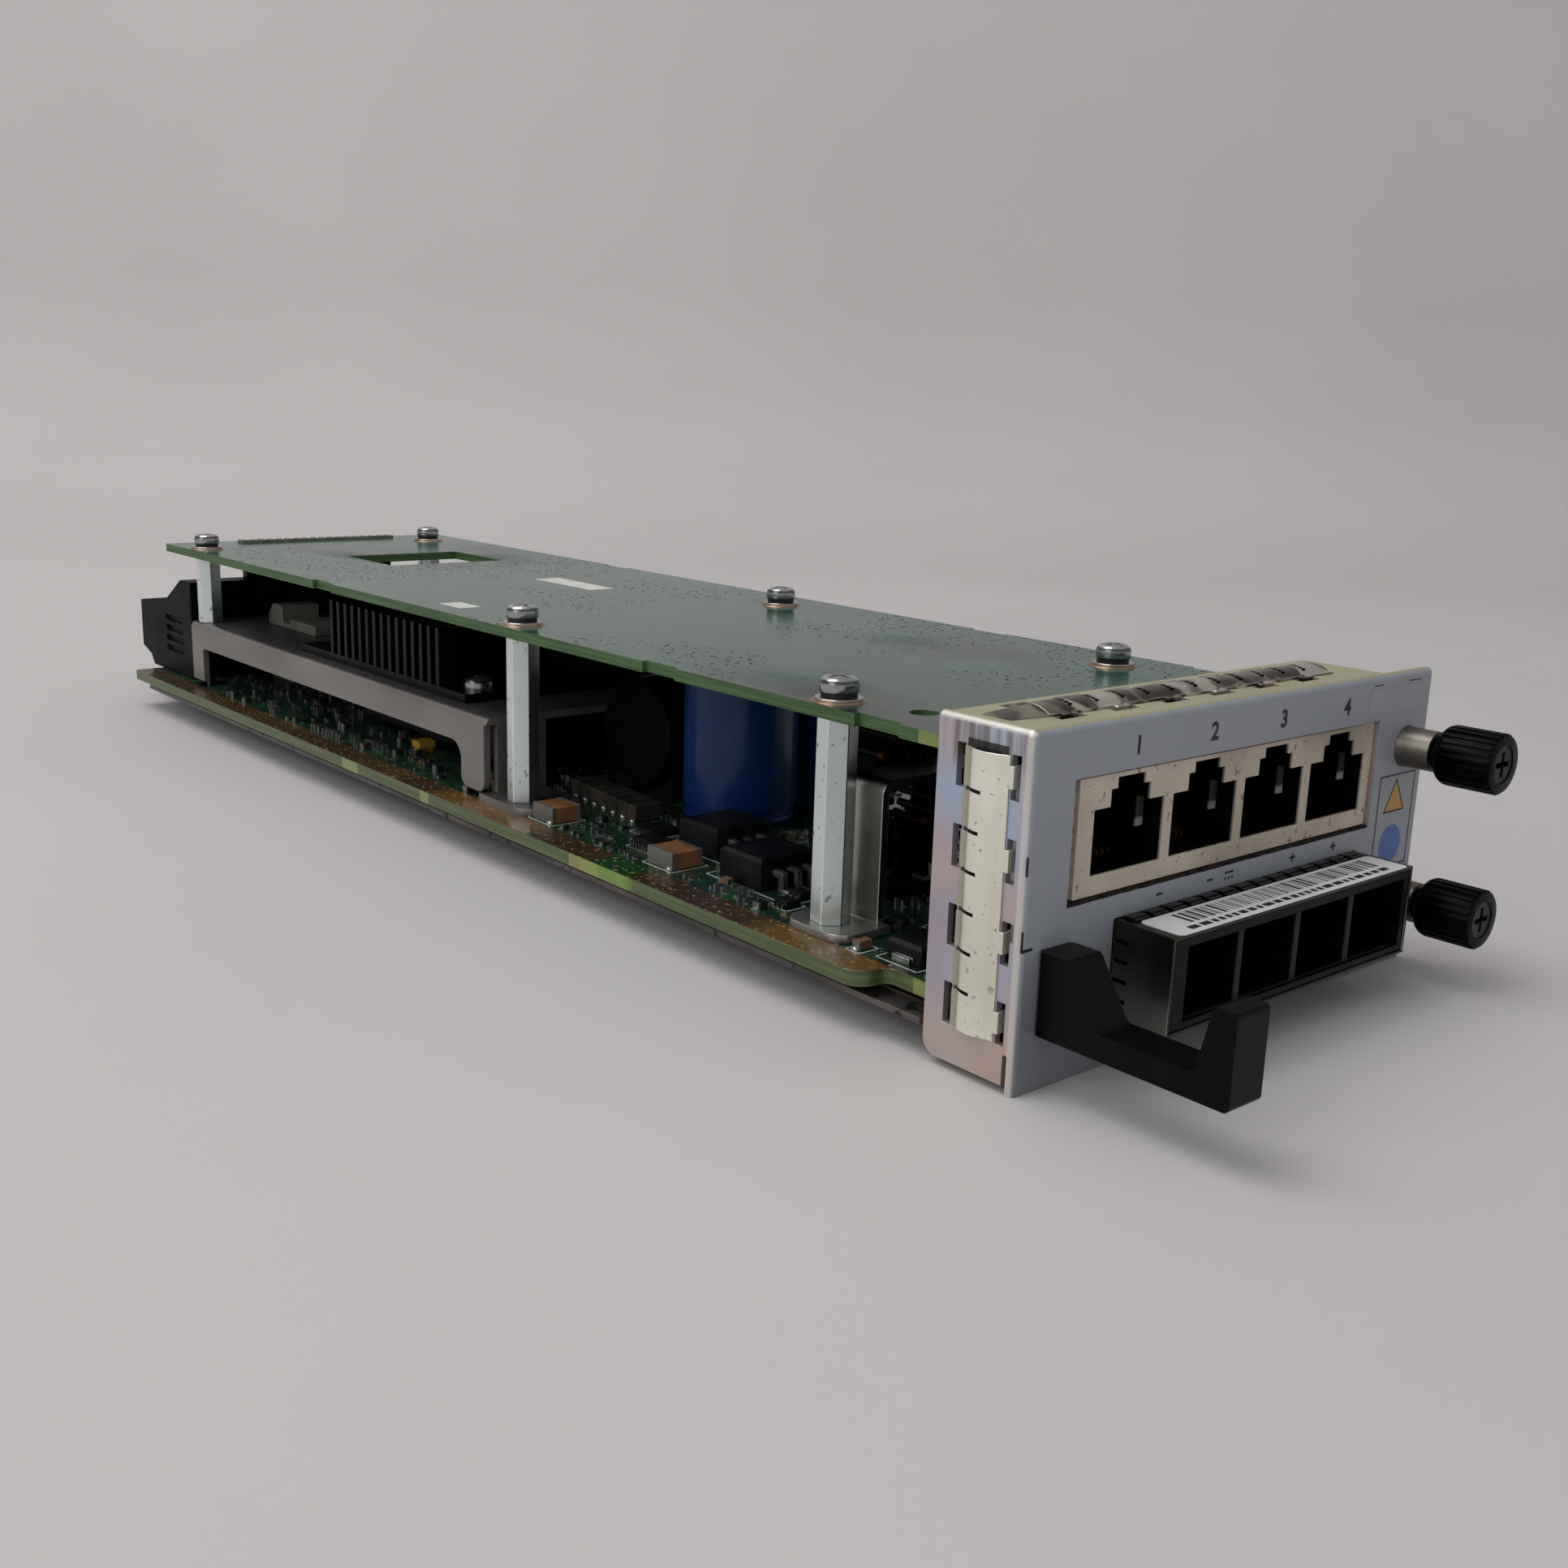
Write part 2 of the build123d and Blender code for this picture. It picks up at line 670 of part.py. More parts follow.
def cross_recess(depth_to, top):
    """Two crossed slots for a screwdriver, cut down from the height top."""
    long_slot = block((-CROSS_L / 2, CROSS_L / 2), (-CROSS_W / 2, CROSS_W / 2), (depth_to, top + 1))
    return long_slot + Rot(0, 0, 90) * long_slot


def pan_screw(reach, head_d=SCREW_HEAD_D, head_h=SCREW_HEAD_H):
    """A cross-recessed pan head screw: its head sits on Z = 0, its shank points down."""
    edge = head_h * 0.5
    crown = (head_d * 0.32, head_h * 0.92)
    half = [
        Line((0, -reach), (THREAD_D / 2, -reach)),
        Line((THREAD_D / 2, -reach), (THREAD_D / 2, 0)),
        Line((THREAD_D / 2, 0), (head_d / 2, 0)),
        Line((head_d / 2, 0), (head_d / 2, edge)),
        ThreePointArc((head_d / 2, edge), (head_d * 0.44, head_h * 0.78), crown),
        Line(crown, (0, head_h)),
        Line((0, head_h), (0, -reach)),
    ]
    screw = revolve(Plane.XZ * make_face(half), Axis.Z)
    return screw - cross_recess(head_h - CROSS_DEEP, head_h)


def standing_places(rows):
    return [(x, STAND_Y[row]) for row in rows for x in STAND_X]


def hex_post(x, y, low, high):
    """A hexagonal standoff with a threaded hole through its length."""
    outline = RegularPolygon(HEX_AF / math.sqrt(3), 6, rotation=HEX_TURN)
    post = extrude(outline, high - low)
    post -= Pos(0, 0, (high - low) / 2) * Cylinder(THREAD_D / 2 + SEAT, high - low + 2)
    return Pos(x, y, low) * post


def make_long_standoffs():
    return [hex_post(x, y, FOOT_TOP, TOP_BOARD_Z) for x, y in standing_places((0, 1))]


def make_rear_standoffs():
    return [hex_post(x, y, TABLE_TOP_Z, TOP_BOARD_Z) for x, y in standing_places((2,))]


def make_flat_washers():
    washers = []
    for x, y in standing_places((0, 1, 2)):
        ring = upright(x, y, (TOP_FACE, TOP_FACE + FLAT_WASHER_T), FLAT_WASHER_D)
        washers.append(ring - upright(x, y, (TOP_FACE - 1, TOP_FACE + 2), HOLE_D))
    return washers


def make_split_washers():
    washers = []
    low = TOP_FACE + FLAT_WASHER_T
    for x, y in standing_places((0, 1, 2)):
        ring = upright(x, y, (low, low + SPLIT_WASHER_T), SPLIT_WASHER_D)
        ring -= upright(x, y, (low - 1, low + 2), HOLE_D)
        ring -= block((x, x + SPLIT_WASHER_D), (y - SPLIT_GAP / 2, y + SPLIT_GAP / 2), (low - 1, low + 2))
        washers.append(ring)
    return washers


def make_top_screws():
    seat = TOP_FACE + FLAT_WASHER_T + SPLIT_WASHER_T
    reach = seat - TOP_BOARD_Z + SCREW_REACH
    return [Pos(x, y, seat) * pan_screw(reach) for x, y in standing_places((0, 1, 2))]


def make_base_screws():
    """Countersunk screws from below, flush with the base plate."""
    screws = []
    for x, y in standing_places((0, 1)) + rear_foot_places():
        cone = Cone(COUNTERSINK_D / 2, THREAD_D / 2, COUNTERSINK_DEEP)
        head = Pos(x, y, PLATE_Z + COUNTERSINK_DEEP / 2) * cone
        top = FOOT_TOP + SCREW_REACH if y < TABLE_FRONT_Y else FOOT_TOP
        shank = upright(x, y, (PLATE_Z, top), THREAD_D)
        slots = Pos(x, y, PLATE_Z) * Rot(180, 0, 0) * cross_recess(-COUNTERSINK_DEEP, 0)
        screws.append(head + shank - slots)
    return screws


def rear_foot_places():
    """Where the rear bracket's back feet are screwed to the main board."""
    y = TABLE_REAR_Y - BRACKET_T - FLAT_WASHER_D
    return [(x, y) for x in (STAND_X[0] + REAR_FOOT_IN, STAND_X[1] - REAR_FOOT_IN)]


def all_foot_places():
    return standing_places((0, 1)) + rear_foot_places()


def make_spacers():
    spacers = []
    for x, y in all_foot_places():
        ring = upright(x, y, (PLATE_Z + PLATE_T, MAIN_Z), SPACER_D)
        spacers.append(ring - upright(x, y, (0, MAIN_TOP), HOLE_D))
    return spacers


def narrow_span(inset):
    """Left and right edge of the board's narrow front part."""
    reach = MAIN_SHOULDER + inset
    return (MAIN_X[0] + reach, MAIN_X[1] - reach)


def make_main_board():
    left, right = MAIN_X
    board = block((left, right), (MAIN_STEP_Y, MAIN_REAR_Y), (MAIN_Z, MAIN_TOP))
    for y, radius in ((MAIN_STEP_Y, SHOULDER_R), (MAIN_REAR_Y, BOARD_CORNER_R)):
        board = fillet(corner_edges(board, Axis.Z, [(x, y, None) for x in MAIN_X]), radius)
    narrow = narrow_span(0)
    board += block(narrow, (MAIN_FRONT_Y, MAIN_STEP_Y + SHOULDER_R), (MAIN_Z, MAIN_TOP))
    board = fillet(corner_edges(board, Axis.Z, [(x, MAIN_STEP_Y, None) for x in narrow]), NECK_R)
    board -= block(
        (INLET_X[0] - 0.5, narrow[1] + 1), (0, INLET_STEP + 0.3), (MAIN_Z - 1, MAIN_TOP + 1)
    )
    for x, y in all_foot_places():
        board -= upright(x, y, (MAIN_Z - 1, MAIN_TOP + 1), HOLE_D)
    return board


def make_top_board():
    left, right = TOP_BOARD_X
    thick = (TOP_BOARD_Z, TOP_FACE)
    board = block(TOP_BOARD_X, TOP_BOARD_Y, thick)
    corners = corner_edges(
        board, Axis.Z, [(x, y, None) for x in TOP_BOARD_X for y in TOP_BOARD_Y]
    )
    board = fillet(corners, BOARD_CORNER_R / 2)
    board -= block(TOP_WINDOW_X, TOP_WINDOW_Y, (TOP_BOARD_Z - 1, TOP_FACE + 1))
    board -= upright(*TOP_EYE_XY, (TOP_BOARD_Z - 1, TOP_FACE + 1), TOP_EYE_D)
    for y in BREAK_TAB_Y:
        for edge in (left, right):
            board -= block(
                (edge - BREAK_TAB_DEEP, edge + BREAK_TAB_DEEP),
                (y, y + BREAK_TAB_L),
                (TOP_BOARD_Z - 1, TOP_FACE + 1),
            )
    for x, y in standing_places((0, 1, 2)):
        board -= upright(x, y, (TOP_BOARD_Z - 1, TOP_FACE + 1), HOLE_D)
    return board


def make_base_plate():
    span_x = (MAIN_X[0] + PLATE_INSET, MAIN_X[1] - PLATE_INSET)
    thick = (PLATE_Z, PLATE_Z + PLATE_T)
    behind_flange = SIDE_FLANGE_DEPTH + RELIEF_SLIT
    plate = block(span_x, (behind_flange, PLATE_Y[1]), thick)
    plate += block((SHEET + RUN, span_x[1]), (PLATE_Y[0], behind_flange), thick)
    for x, y in all_foot_places():
        plate -= upright(x, y, (0, MAIN_Z), HOLE_D)
        cone = Cone(COUNTERSINK_D / 2 + SEAT, THREAD_D / 2 + SEAT, COUNTERSINK_DEEP)
        plate -= Pos(x, y, PLATE_Z + COUNTERSINK_DEEP / 2) * cone
    for x in PANEL_TAB_X:
        plate -= upright(x + PANEL_TAB_W / 2, PANEL_TAB_DEPTH - 4, (0, MAIN_Z), HOLE_D)
    return plate


def make_insulating_film():
    low = PLATE_Z + PLATE_T
    span_x = (MAIN_X[0] + PLATE_INSET + FILM_INSET, MAIN_X[1] - PLATE_INSET - FILM_INSET)
    film = block(span_x, (MAIN_STEP_Y + 5, PLATE_Y[1] - FILM_INSET), (low, low + FILM_T))
    film += block(
        narrow_span(FILM_INSET),
        (INLET_STEP + 1, MAIN_STEP_Y + 5),
        (low, low + FILM_T),
    )
    for x, y in all_foot_places():
        film -= upright(x, y, (low - 1, MAIN_Z), SPACER_D + 2 * RUN)
    return film


def make_panel_rivets():
    """Rivets that tie the panel's two lower tabs to the base plate."""
    rivets = []
    for x in PANEL_TAB_X:
        mid, y = x + PANEL_TAB_W / 2, PANEL_TAB_DEPTH - 4
        low = PLATE_Z
        body = upright(mid, y, (low, low + PLATE_T), HOLE_D)
        rivets.append(body + upright(mid, y, (low + PLATE_T, low + PLATE_T + 0.6), HOLE_D + 2))
    return rivets


def half_bridge():
    """Left half of the front bracket: foot, leg and top plate, folded from one strip."""
    leg = (BRIDGE_LEG_X - BRACKET_T, BRIDGE_LEG_X)
    foot_x = (TABLE_SKIRT_X - 0.6, BRIDGE_LEG_X)
    foot = block(foot_x, (BRIDGE_FOOT_FRONT, BRIDGE_FOOT_BACK), (MAIN_TOP, FOOT_TOP))
    ends = corner_edges(
        foot, Axis.Z, [(foot_x[0], y, None) for y in (BRIDGE_FOOT_FRONT, BRIDGE_FOOT_BACK)]
    )
    foot = fillet(ends, FOOT_CORNER_R)
    post = block(leg, BRIDGE_Y, (MAIN_TOP, BRIDGE_TOP_Z))
    plate = block(
        (leg[0], MIDDLE_X), BRIDGE_Y, (BRIDGE_TOP_Z - BRACKET_T, BRIDGE_TOP_Z)
    )
    strip = post + plate
    outer = corner_edges(strip, Axis.Y, [(leg[0], None, BRIDGE_TOP_Z)])
    strip = fillet(outer, BRACKET_T * 1.5)
    inner = corner_edges(strip, Axis.Y, [(leg[1], None, BRIDGE_TOP_Z - BRACKET_T)])
    strip = fillet(inner, BRACKET_T * 0.5)
    return strip + foot - upright(STAND_X[0], STAND_Y[0], (MAIN_Z, FOOT_TOP + 1), HOLE_D)


def with_mirror(half):
    return half + mirror(half, Plane(origin=(MIDDLE_X, 0, 0), z_dir=(1, 0, 0)))


def make_front_bracket():
    return with_mirror(half_bridge())


def half_table():
    """Left half of the rear bracket: top plate, windowed skirt, front and back legs."""
    skirt_x = (TABLE_SKIRT_X, TABLE_SKIRT_X + BRACKET_T)
    top = block(
        (TABLE_SKIRT_X, MIDDLE_X), (TABLE_FRONT_Y, TABLE_REAR_Y), (TABLE_TOP_Z - BRACKET_T, TABLE_TOP_Z)
    )
    skirt = block(skirt_x, (TABLE_FRONT_Y + SKIRT_GAP, TABLE_REAR_Y), (FOOT_TOP, TABLE_TOP_Z))
    window = block(
        (skirt_x[0] - 1, skirt_x[1] + 1), SKIRT_OPEN_Y, (FOOT_TOP - 20, SKIRT_OPEN_TOP)
    )
    for y, radius in zip(SKIRT_OPEN_Y, (SKIRT_OPEN_R, SKIRT_BACK_R)):
        window = fillet(corner_edges(window, Axis.X, [(None, y, SKIRT_OPEN_TOP)]), radius)
    skirt -= window
    toes = corner_edges(
        skirt, Axis.X, [(None, y, FOOT_TOP) for y in (TABLE_FRONT_Y + SKIRT_GAP, SKIRT_OPEN_Y[0])]
    )
    skirt = fillet(toes, SKIRT_TOE_R)
    table = top + skirt
    fold = corner_edges(table, Axis.Y, [(TABLE_SKIRT_X, None, TABLE_TOP_Z)])
    table = fillet(fold, BRACKET_T)
    tab_x = (TABLE_SKIRT_X + BRACKET_T + SKIRT_GAP, TABLE_TAB_X)
    front = block(tab_x, (TABLE_FRONT_Y, TABLE_FRONT_Y + BRACKET_T), (MAIN_TOP, TABLE_TOP_Z))
    table += front
    foot = block(
        (TABLE_SKIRT_X - 0.6, TABLE_TAB_X),
        (TABLE_FOOT_Y, TABLE_FRONT_Y + BRACKET_T),
        (MAIN_TOP, FOOT_TOP),
    )
    foot = fillet(
        corner_edges(foot, Axis.Z, [(x, TABLE_FOOT_Y, None) for x in (TABLE_SKIRT_X - 0.6, TABLE_TAB_X)]),
        FOOT_CORNER_R,
    )
    table += foot
    table -= upright(STAND_X[0], STAND_Y[1], (MAIN_Z, FOOT_TOP + 1), HOLE_D)
    rear_x, rear_y = rear_foot_places()[0]
    tab = (rear_x - FLAT_WASHER_D / 2, rear_x + FLAT_WASHER_D / 2)
    table += block(tab, (TABLE_REAR_Y - BRACKET_T, TABLE_REAR_Y), (MAIN_TOP, TABLE_TOP_Z))
    table += block(tab, (rear_y - FLAT_WASHER_D / 2, TABLE_REAR_Y), (MAIN_TOP, FOOT_TOP))
    table -= upright(rear_x, rear_y, (MAIN_Z, FOOT_TOP + 1), THREAD_D + 2 * SEAT)
    table -= upright(STAND_X[0], STAND_Y[2], (FOOT_TOP + 1, TABLE_TOP_Z + 1), THREAD_D)
    for x, y in sink_screw_places():
        if x < MIDDLE_X:
            table -= upright(x, y, (FOOT_TOP + 1, TABLE_TOP_Z + 1), THREAD_D + 2 * SEAT)
    return table


def make_rear_bracket():
    return with_mirror(half_table())


def sink_screw_places():
    lefts = [SINK_X + inset for inset in SINK_SCREW_IN]
    return [(x, y) for left, y in zip(lefts, SINK_SCREW_Y) for x in (left, mirrored(left))]


def make_heatsink():
    span = (SINK_X, mirrored(SINK_X))
    base_z = (TABLE_TOP_Z, TABLE_TOP_Z + SINK_BASE_T)
    sink = block(span, SINK_Y, base_z)
    for i in range(FIN_COUNT):
        y = FIN_FIRST_Y + FIN_PITCH * i
        sink += block(span, (y, y + FIN_T), (base_z[0], SINK_TOP_Z))
    for x, y in sink_screw_places():
        sink -= upright(x, y, (base_z[0] - 1, base_z[1] + 1), HOLE_D)
    return sink


def make_sink_screws():
    seat = TABLE_TOP_Z + SINK_BASE_T
    reach = SINK_BASE_T + BRACKET_T - SEAT
    return [Pos(x, y, seat) * pan_screw(reach) for x, y in sink_screw_places()]


def make_converter_brick():
    top = TABLE_TOP_Z - BRACKET_T
    return block(BRICK_X, BRICK_Y, (MAIN_TOP + BRICK_GAP, top))


def make_brick_pins():
    pins = []
    for y in (BRICK_Y[0] + 4, BRICK_Y[1] - 4):
        for i in range(4):
            x = BRICK_X[0] + 5 + (BRICK_X[1] - BRICK_X[0] - 10) * i / 3
            pins.append(upright(x, y, (MAIN_TOP, MAIN_TOP + BRICK_GAP), PIN_D))
    return pins


def make_can(x, y):
    """An upright capacitor can with a crimped neck and rounded rims."""
    body = upright(0, 0, (0, CAN_H), CAN_D)
    body = fillet(body.edges().filter_by(GeomType.CIRCLE), 0.9)
    groove = upright(0, 0, (CAN_NECK_Z, CAN_NECK_Z + 1.0), CAN_D + 2)
    body -= groove - upright(0, 0, (CAN_NECK_Z - 1, CAN_NECK_Z + 3), CAN_NECK_D)
    foot = upright(0, 0, (-LEAD_GAP, 0.1), CAN_D * 0.8)
    return Pos(x, y, MAIN_TOP + LEAD_GAP) * (body + foot)


def make_lying_can():
    mid_z = MAIN_TOP + SADDLE_T + LYING_CAN_D / 2
    length = LYING_CAN_X[1] - LYING_CAN_X[0]
    can = Rot(0, 90, 0) * Cylinder(LYING_CAN_D / 2, length)
    can = fillet(can.edges().filter_by(GeomType.CIRCLE), 0.8)
    return Pos(sum(LYING_CAN_X) / 2, LYING_CAN_Y, mid_z) * can


def make_can_saddle():
    """A moulded cradle that holds the lying can on the board."""
    mid_z = MAIN_TOP + SADDLE_T + LYING_CAN_D / 2
    cradle = block(
        (LYING_CAN_X[0] + 2, mirrored(TABLE_TAB_X) - SKIRT_GAP),
        (LYING_CAN_Y - LYING_CAN_D * 0.42, LYING_CAN_Y + LYING_CAN_D * 0.42),
        (MAIN_TOP, MAIN_TOP + SADDLE_T + LYING_CAN_D * 0.22),
    )
    hollow = Pos(sum(LYING_CAN_X) / 2, LYING_CAN_Y, mid_z) * Rot(0, 90, 0)
    return cradle - hollow * Cylinder(LYING_CAN_D / 2 + SEAT, LYING_CAN_X[1] - LYING_CAN_X[0])


def choke_centre():
    return Pos(CHOKE_X, CHOKE_Y, MAIN_TOP + CHOKE_BASE_T + CHOKE_CORE_D / 2 + CHOKE_WIRE + RUN)


def make_choke_core():
    ring = Cylinder(CHOKE_CORE_D / 2, CHOKE_CORE_T) - Cylinder(CHOKE_HOLE_D / 2, CHOKE_CORE_T + 2)
    return choke_centre() * Rot(90, 0, 0) * ring


def make_choke_winding():
    """Thick wire turns round the upright ring, each a closed loop about its section."""
    outer_r, inner_r = CHOKE_CORE_D / 2 + SEAT, CHOKE_HOLE_D / 2 - SEAT
    half_t = CHOKE_CORE_T / 2 + SEAT
    wire = CHOKE_WIRE
    loop = block((inner_r - wire, outer_r + wire), (-wire / 2, wire / 2), (-half_t - wire, half_t + wire))
    loop -= block((inner_r, outer_r), (-wire, wire), (-half_t, half_t))
    turns = []
    for i in range(CHOKE_TURNS):
        angle = 360 / CHOKE_TURNS * (i + 0.5)
        turns.append(choke_centre() * Rot(90, 0, 0) * Rot(0, 0, angle) * loop)
    return turns


def make_choke_base():
    half_l, half_w = CHOKE_CORE_D / 2, CHOKE_CORE_T / 2 + 2
    plate = block(
        (CHOKE_X - half_l, CHOKE_X + half_l),
        (CHOKE_Y - half_w, CHOKE_Y + half_w),
        (MAIN_TOP, MAIN_TOP + CHOKE_BASE_T),
    )
    return plate


def make_backplane_plug():
    """Side profile of the moulding with its stepped roof and overhanging nose."""
    profile = [
        (PLUG_FRONT_Y, MAIN_TOP),
        (PLUG_REAR_Y - PLUG_TOE_IN, MAIN_TOP),
        (PLUG_REAR_Y - PLUG_KEEL_IN, MAIN_TOP + PLUG_KEEL_UP),
        (PLUG_REAR_Y, MAIN_TOP + PLUG_NOSE_FOOT),
        (PLUG_REAR_Y, PLUG_NOSE_TOP),
        (PLUG_STEP_Y, PLUG_MID_TOP),
        (PLUG_SHOULDER_Y, PLUG_TOP),
        (PLUG_FRONT_Y, PLUG_TOP),
    ]
    plane = Plane(origin=(PLUG_X[0], 0, 0), x_dir=(0, 1, 0), z_dir=(1, 0, 0))
    plug = extruded(profile, plane, PLUG_X[1] - PLUG_X[0])
    rib_pitch = (PLUG_NOSE_TOP - MAIN_TOP - 3) / (PLUG_RIBS + 1)
    rib_y = (PLUG_STEP_Y + 1 - PLUG_RIB_L, PLUG_STEP_Y + 1)
    for i in range(PLUG_RIBS):
        z = MAIN_TOP + 2.6 + rib_pitch * (i + 1)
        for x in PLUG_X:
            plug -= block((x - 0.7, x + 0.7), rib_y, (z, z + rib_pitch / 2))
    slot_y = (PLUG_REAR_Y - PLUG_SLOT_DEEP, PLUG_REAR_Y + 1)
    slot_z = (MAIN_TOP + PLUG_NOSE_FOOT + 1.3, PLUG_NOSE_TOP - 2)
    for x, width in plug_slots():
        plug -= block((x, x + width), slot_y, slot_z)
    return plug


def plug_slots():
    """Left edge and width of each slot in the nose."""
    pitch = (PLUG_X[1] - PLUG_X[0] - 3) / PLUG_BLADES
    return [(PLUG_X[0] + 2.2 + pitch * i, pitch - 1.4) for i in range(PLUG_BLADES)]


def make_plug_contacts():
    """A pair of leaf contacts in each slot, rooted in the moulding."""
    leaves = []
    low, high = MAIN_TOP + PLUG_NOSE_FOOT + 2.5, PLUG_NOSE_TOP - 3.5
    root = PLUG_REAR_Y - PLUG_SLOT_DEEP
    for x, width in plug_slots():
        mid = x + width / 2
        for side in (-1, 1):
            near = mid + side * 1.4
            leaves.append(block((near - 0.3, near + 0.3), (root, PLUG_REAR_Y - 1.2), (low, high)))
    return leaves


def make_rear_header():
    return block(TOP_HEADER_X, TOP_HEADER_Y, (PLUG_TOP, TOP_BOARD_Z))


def make_header_pins():
    pins = []
    y = sum(TOP_HEADER_Y) / 2
    for i in range(HEADER_PINS):
        x = TOP_HEADER_X[0] + 1.2 + (TOP_HEADER_X[1] - TOP_HEADER_X[0] - 2.4) * i / (HEADER_PINS - 1)
        pins.append(upright(x, y, (TOP_FACE, TOP_FACE + 0.7), 0.9))
    return pins


def boxed(x, y, length, width, height):
    """A part's body whose corner nearest the origin is at x, y on the main board."""
    return block((x, x + length), (y, y + width), (MAIN_TOP, MAIN_TOP + height))


def make_tan_capacitors():
    return [boxed(*place_and_size) for place_and_size in TAN_PARTS]


def make_grey_capacitors():
    places = [(GREY_FIRST[0] + GREY_STEP[0] * i, GREY_FIRST[1] + GREY_STEP[1] * i) for i in range(GREY_COUNT)]
    return [boxed(x, y, *GREY_SIZE) for x, y in places]


def transistor(x, y):
    """A power transistor: body, heat tab behind and two bent leads in front."""
    length, width, height = TRANSISTOR_SIZE
    body = block((0, length), (0, width), (RUN, height))
    body = chamfer(body.faces().sort_by(Axis.Z)[-1].edges(), LEAD_T)
    tab_x = ((length - TRANSISTOR_TAB[0]) / 2, (length + TRANSISTOR_TAB[0]) / 2)
    part = body + block(tab_x, (width, width + TRANSISTOR_TAB[1]), (0, TRANSISTOR_TAB[2]))
    bend = LEAD_REACH / 2
    for place in LEAD_PLACES:
        lead = (place, place + LEAD_W)
        part += block(lead, (-bend, 0), (LEAD_UP - LEAD_T, LEAD_UP))
        part += block(lead, (-bend, LEAD_T - bend), (0, LEAD_UP))
        part += block(lead, (-LEAD_REACH, LEAD_T - bend), (0, LEAD_T))
    return Pos(x, y, MAIN_TOP) * part


def make_power_transistors():
    return [transistor(*place) for place in TRANSISTOR_AT]


def make_control_chips():
    return [boxed(*place_and_size) for place_and_size in CHIP_PARTS]


def make_clamp_diode():
    length, width, height = DIODE_SIZE
    body = block((0, length), (0, width), (RUN, height))
    body = chamfer(body.faces().sort_by(Axis.Z)[-1].edges(), LEAD_T)
    reach, tab_w, tab_h = DIODE_TAB
    tabs = block((-reach, length + reach), ((width - tab_w) / 2, (width + tab_w) / 2), (0, tab_h))
    return Pos(*DIODE_AT, MAIN_TOP) * (body + tabs)


def make_input_inductor():
    body = block(INDUCTOR_X, INDUCTOR_Y, (MAIN_TOP, MAIN_TOP + INDUCTOR_H))
    return fillet(body.edges().filter_by(Axis.Z), BOARD_CORNER_R)


def make_top_board_chip():
    return block(TOP_CHIP_X, TOP_CHIP_Y, (TOP_BOARD_Z - TOP_CHIP_H, TOP_BOARD_Z))


def make_terminal_block():
    """A moulded terminal block on the rear bracket, low in front and high behind."""
    front, back = TERMINAL_Y
    low = TABLE_TOP_Z
    body = block(TERMINAL_X, TERMINAL_Y, (low, low + TERMINAL_BASE))
    body += block(TERMINAL_X, (front, front + TERMINAL_FRONT_L), (low, low + TERMINAL_FRONT_H))
    tower = block(TERMINAL_X, (back - TERMINAL_BACK_L, back), (low, low + TERMINAL_BACK_H))
    lean = tower.edges().filter_by(Axis.X).group_by(Axis.Z)[-1].sort_by(Axis.Y)[-1]
    return body + chamfer(lean, TERMINAL_BACK_H / 2)


def make_handle_screw():
    x = HANDLE_X + HANDLE_W / 2
    screw = Pos(x, SHEET, HANDLE_SCREW_Z) * Rot(-90, 0, 0)
    return screw * pan_screw(SHEET + SCREW_REACH - 0.5)


def make_ferrule(z):
    outer = along_y(KNOB_X, z, (-FERRULE_OUT, SHEET), FERRULE_D)
    outer += along_y(KNOB_X, z, (SHEET, SHEET + FERRULE_FLANGE_T), FERRULE_FLANGE_D)
    lip = SHEET + FERRULE_FLANGE_T - FERRULE_LIP
    bore = along_y(KNOB_X, z, (-FERRULE_OUT - 1, lip), FERRULE_BORE)
    return outer - bore - along_y(KNOB_X, z, (lip - 1, SHEET + 2), SHAFT_D + 2 * RUN)


def make_knob(z):
    """A fluted grip with a bore behind that slides over the ferrule."""
    front = -KNOB_REST - KNOB_LEN
    grip = Cylinder(KNOB_D / 2, KNOB_LEN)
    rim = grip.edges().filter_by(GeomType.CIRCLE)
    grip = fillet(rim.sort_by(Axis.Z)[-1], 1.4)
    grip = chamfer(grip.edges().filter_by(GeomType.CIRCLE).sort_by(Axis.Z)[0], 0.3)
    for i in range(KNOB_FLUTES):
        groove = Pos(KNOB_D / 2, 0, 0) * Box(2 * FLUTE_DEEP, FLUTE_DEEP * 2, KNOB_LEN + 1)
        grip -= Rot(0, 0, 360 / KNOB_FLUTES * i) * groove
    bore_len = KNOB_LEN - KNOB_WALL
    grip -= Pos(0, 0, KNOB_LEN / 2 - bore_len / 2) * Cylinder(KNOB_BORE / 2, bore_len)
    grip -= Cylinder(SHAFT_D / 2 + SEAT, KNOB_LEN + 2)
    grip -= Pos(0, 0, -KNOB_LEN / 2) * Cylinder(KNOB_FACE_D / 2, 2 * KNOB_FACE_DEEP)
    return Pos(KNOB_X, front + KNOB_LEN / 2, z) * Rot(-90, 0, 0) * grip


def make_knob_screw(z):
    """The metal screw moulded through the knob, with a cross in its head."""
    front = -KNOB_REST - KNOB_LEN
    head = (front + 0.15, front + KNOB_FACE_DEEP)
    screw = along_y(KNOB_X, z, head, KNOB_FACE_D - 2 * SEAT)
    screw += along_y(KNOB_X, z, (head[1], SHAFT_TIP_Y), SHAFT_D)
    groove_y = SHEET + FERRULE_FLANGE_T + SEAT
    ring = along_y(KNOB_X, z, (groove_y, groove_y + RING_T + 2 * SEAT), SHAFT_D + 1)
    ring -= along_y(KNOB_X, z, (groove_y - 1, groove_y + 2), GROOVE_D)
    cross = Pos(KNOB_X, front, z) * Rot(90, 0, 0) * cross_recess(-KNOB_FACE_DEEP - 0.5, 0)
    return screw - ring - cross


